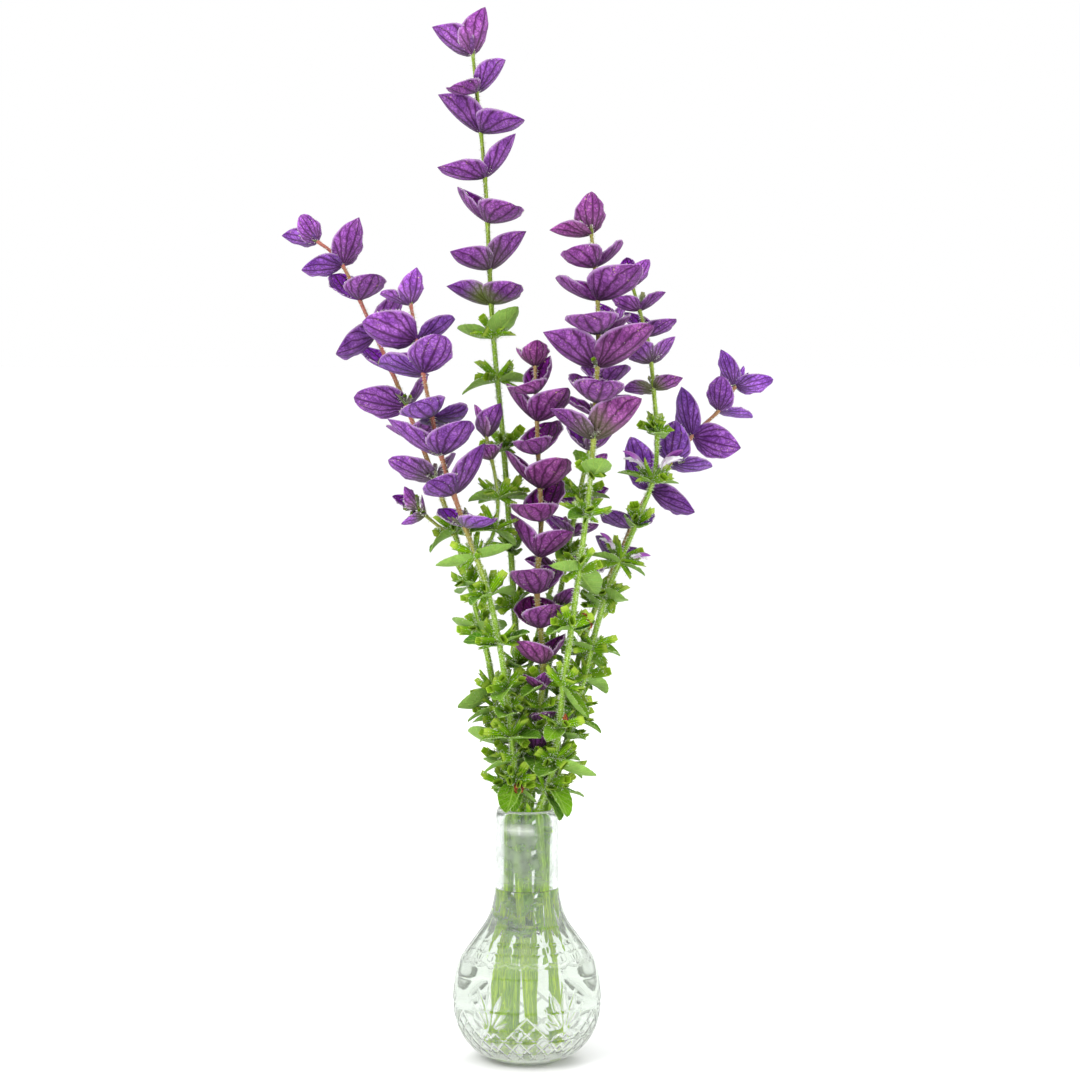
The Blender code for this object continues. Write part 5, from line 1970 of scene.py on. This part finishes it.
@dataclass
class Studio:
    """White floor, white surroundings, soft lamps and the camera at the picture's angle."""

    camera_at: Place = (0.0, -1.53, 0.39)
    camera_aim: Place = (0.0065, 0.0, 0.2608)
    lamp_aim: Place = (0.0, 0.0, 0.24)
    lens: float = 103.4
    floor_size: float = 12.0
    horizon: Colour = (1.0, 1.0, 1.0, 1.0)
    overhead: Colour = (0.84, 0.85, 0.86, 1.0)
    card_grey: Colour = (0.76, 0.7904, 0.7752, 1.0)
    ring_grey: Colour = (0.74, 0.7622, 0.7474, 1.0)
    cards: tuple[tuple[str, int], ...] = (("right_card", 0), ("right_back_card", 48), ("left_back_card", 132),
                                          ("left_card", 180))
    card_size: float = 380.0
    ring_radii: tuple[float, float] = (3000.0, 42.0)

    def floor(self) -> None:
        """Makes the floor."""
        mesh = bmesh.new()
        bmesh.ops.create_grid(mesh, x_segments=8, y_segments=8, size=self.floor_size / MM)
        make_object("studio_floor", mesh, [FloorFinish().material()])

    def surroundings(self) -> None:
        """Makes the white surroundings: brightest at the horizon, a little grey overhead."""
        world = bpy.data.worlds.new("studio")
        bpy.context.scene.world = world
        world.use_nodes = True
        nodes, links = world.node_tree.nodes, world.node_tree.links
        where = nodes.new("ShaderNodeTexCoord")
        split = nodes.new("ShaderNodeSeparateXYZ")
        ramp = nodes.new("ShaderNodeValToRGB")
        links.new(where.outputs["Generated"], split.inputs[0])
        links.new(split.outputs[2], ramp.inputs[0])
        links.new(ramp.outputs[0], nodes["Background"].inputs["Color"])
        for stop, place, colour in zip(ramp.color_ramp.elements, (0.45, 0.9), (self.horizon, self.overhead)):
            stop.position, stop.color = place, colour

    def turned_to(self, made: bpy.types.Object, place: Place, aim: Place) -> None:
        """Puts a lamp or camera in a place and turns it to face another."""
        made.location = place
        made.rotation_euler = (Vector(aim) - Vector(place)).to_track_quat("-Z", "Y").to_euler()

    def lamp(self, name: str, place: Place, size: float, power: float) -> None:
        """Adds a square soft lamp that faces the middle of the bunch.

        Args:
            name: Its name.
            place: Where it hangs, in metres.
            size: Its side.
            power: Its power in watts.
        """
        data = bpy.data.lights.new(name, "AREA")
        data.size, data.energy = size, power
        made = linked(name, data)
        self.turned_to(made, place, self.lamp_aim)
        made.visible_glossy = made.visible_transmission = False

    def daylight(self, strength: float, angle: float) -> None:
        """Adds light from above, so many degrees wide that it keeps the whole floor white."""
        data = bpy.data.lights.new("daylight", "SUN")
        data.energy, data.angle = strength, math.radians(angle)
        linked("daylight", data).rotation_euler = (math.radians(18), math.radians(-14), 0)

    def camera(self) -> None:
        """Makes the camera."""
        data = bpy.data.cameras.new("camera")
        data.lens, data.sensor_width = self.lens, 36.0
        made = linked("camera", data)
        self.turned_to(made, self.camera_at, self.camera_aim)
        bpy.context.scene.camera = made

    def seen_in_glass(self, name: str, mesh: Shape, colour: Colour) -> None:
        """Makes a matt grey surface that only the glass shows, whose edges would be lost in the white."""
        made = make_object(name, mesh, [Recipe(name, colour, 0.9).material])
        made.visible_camera = made.visible_diffuse = made.visible_shadow = False

    def stand_cards(self) -> None:
        """Stands grey cards round the bunch, from the right over the back to the left."""
        upright = Matrix.Translation((900, 0, 250)) @ Matrix.Rotation(math.pi / 2, 4, "Y")
        for name, azimuth in self.cards:
            mesh = bmesh.new()
            turn = Matrix.Rotation(math.radians(azimuth), 4, "Z")
            bmesh.ops.create_grid(mesh, x_segments=1, y_segments=1, size=self.card_size,
                                  matrix=turn @ upright)
            self.seen_in_glass(name, mesh, self.card_grey)

    def ring(self) -> None:
        """Lays a grey ring on the floor round the vase."""
        mesh = bmesh.new()
        outer, inner = self.ring_radii
        bmesh.ops.create_cone(mesh, cap_ends=False, segments=64, radius1=outer, radius2=inner, depth=0.1,
                              matrix=Matrix.Translation((0, 0, 0.4)))
        face_out(mesh)
        self.seen_in_glass("grey_ring", mesh, self.ring_grey)

    def light_and_view(self) -> None:
        """Sets the lamps and how the picture is shown."""
        self.lamp("key", (-0.9, -1.1, 1.3), 0.9, 16)
        self.lamp("fill", (1.2, -0.9, 0.7), 0.8, 6)
        self.lamp("rim", (0.5, 1.2, 1.1), 0.9, 8)
        self.daylight(0.75, 70)
        self.ring()
        self.stand_cards()
        scene = bpy.context.scene
        scene.view_settings.view_transform = "Standard"
        scene.cycles.max_bounces = 32
        scene.cycles.transmission_bounces = scene.cycles.glossy_bounces = 24
        scene.cycles.transparent_max_bounces = 12
        scene.cycles.blur_glossy = 0.6

    def set_up(self) -> None:
        """Makes the whole studio."""
        self.camera()
        self.floor()
        self.surroundings()
        self.light_and_view()


def main() -> None:
    """Sets up the studio, then builds the vase, the water and the plants."""
    logging.basicConfig(level=logging.INFO, format="%(message)s")
    Studio().set_up()
    vase = CutGlassVase()
    plants = Plants()
    plants.plan(vase.packed_solid())
    vase.dress()
    vase.fill()
    plants.dress()
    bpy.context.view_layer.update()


if __name__ == "__main__":
    main()
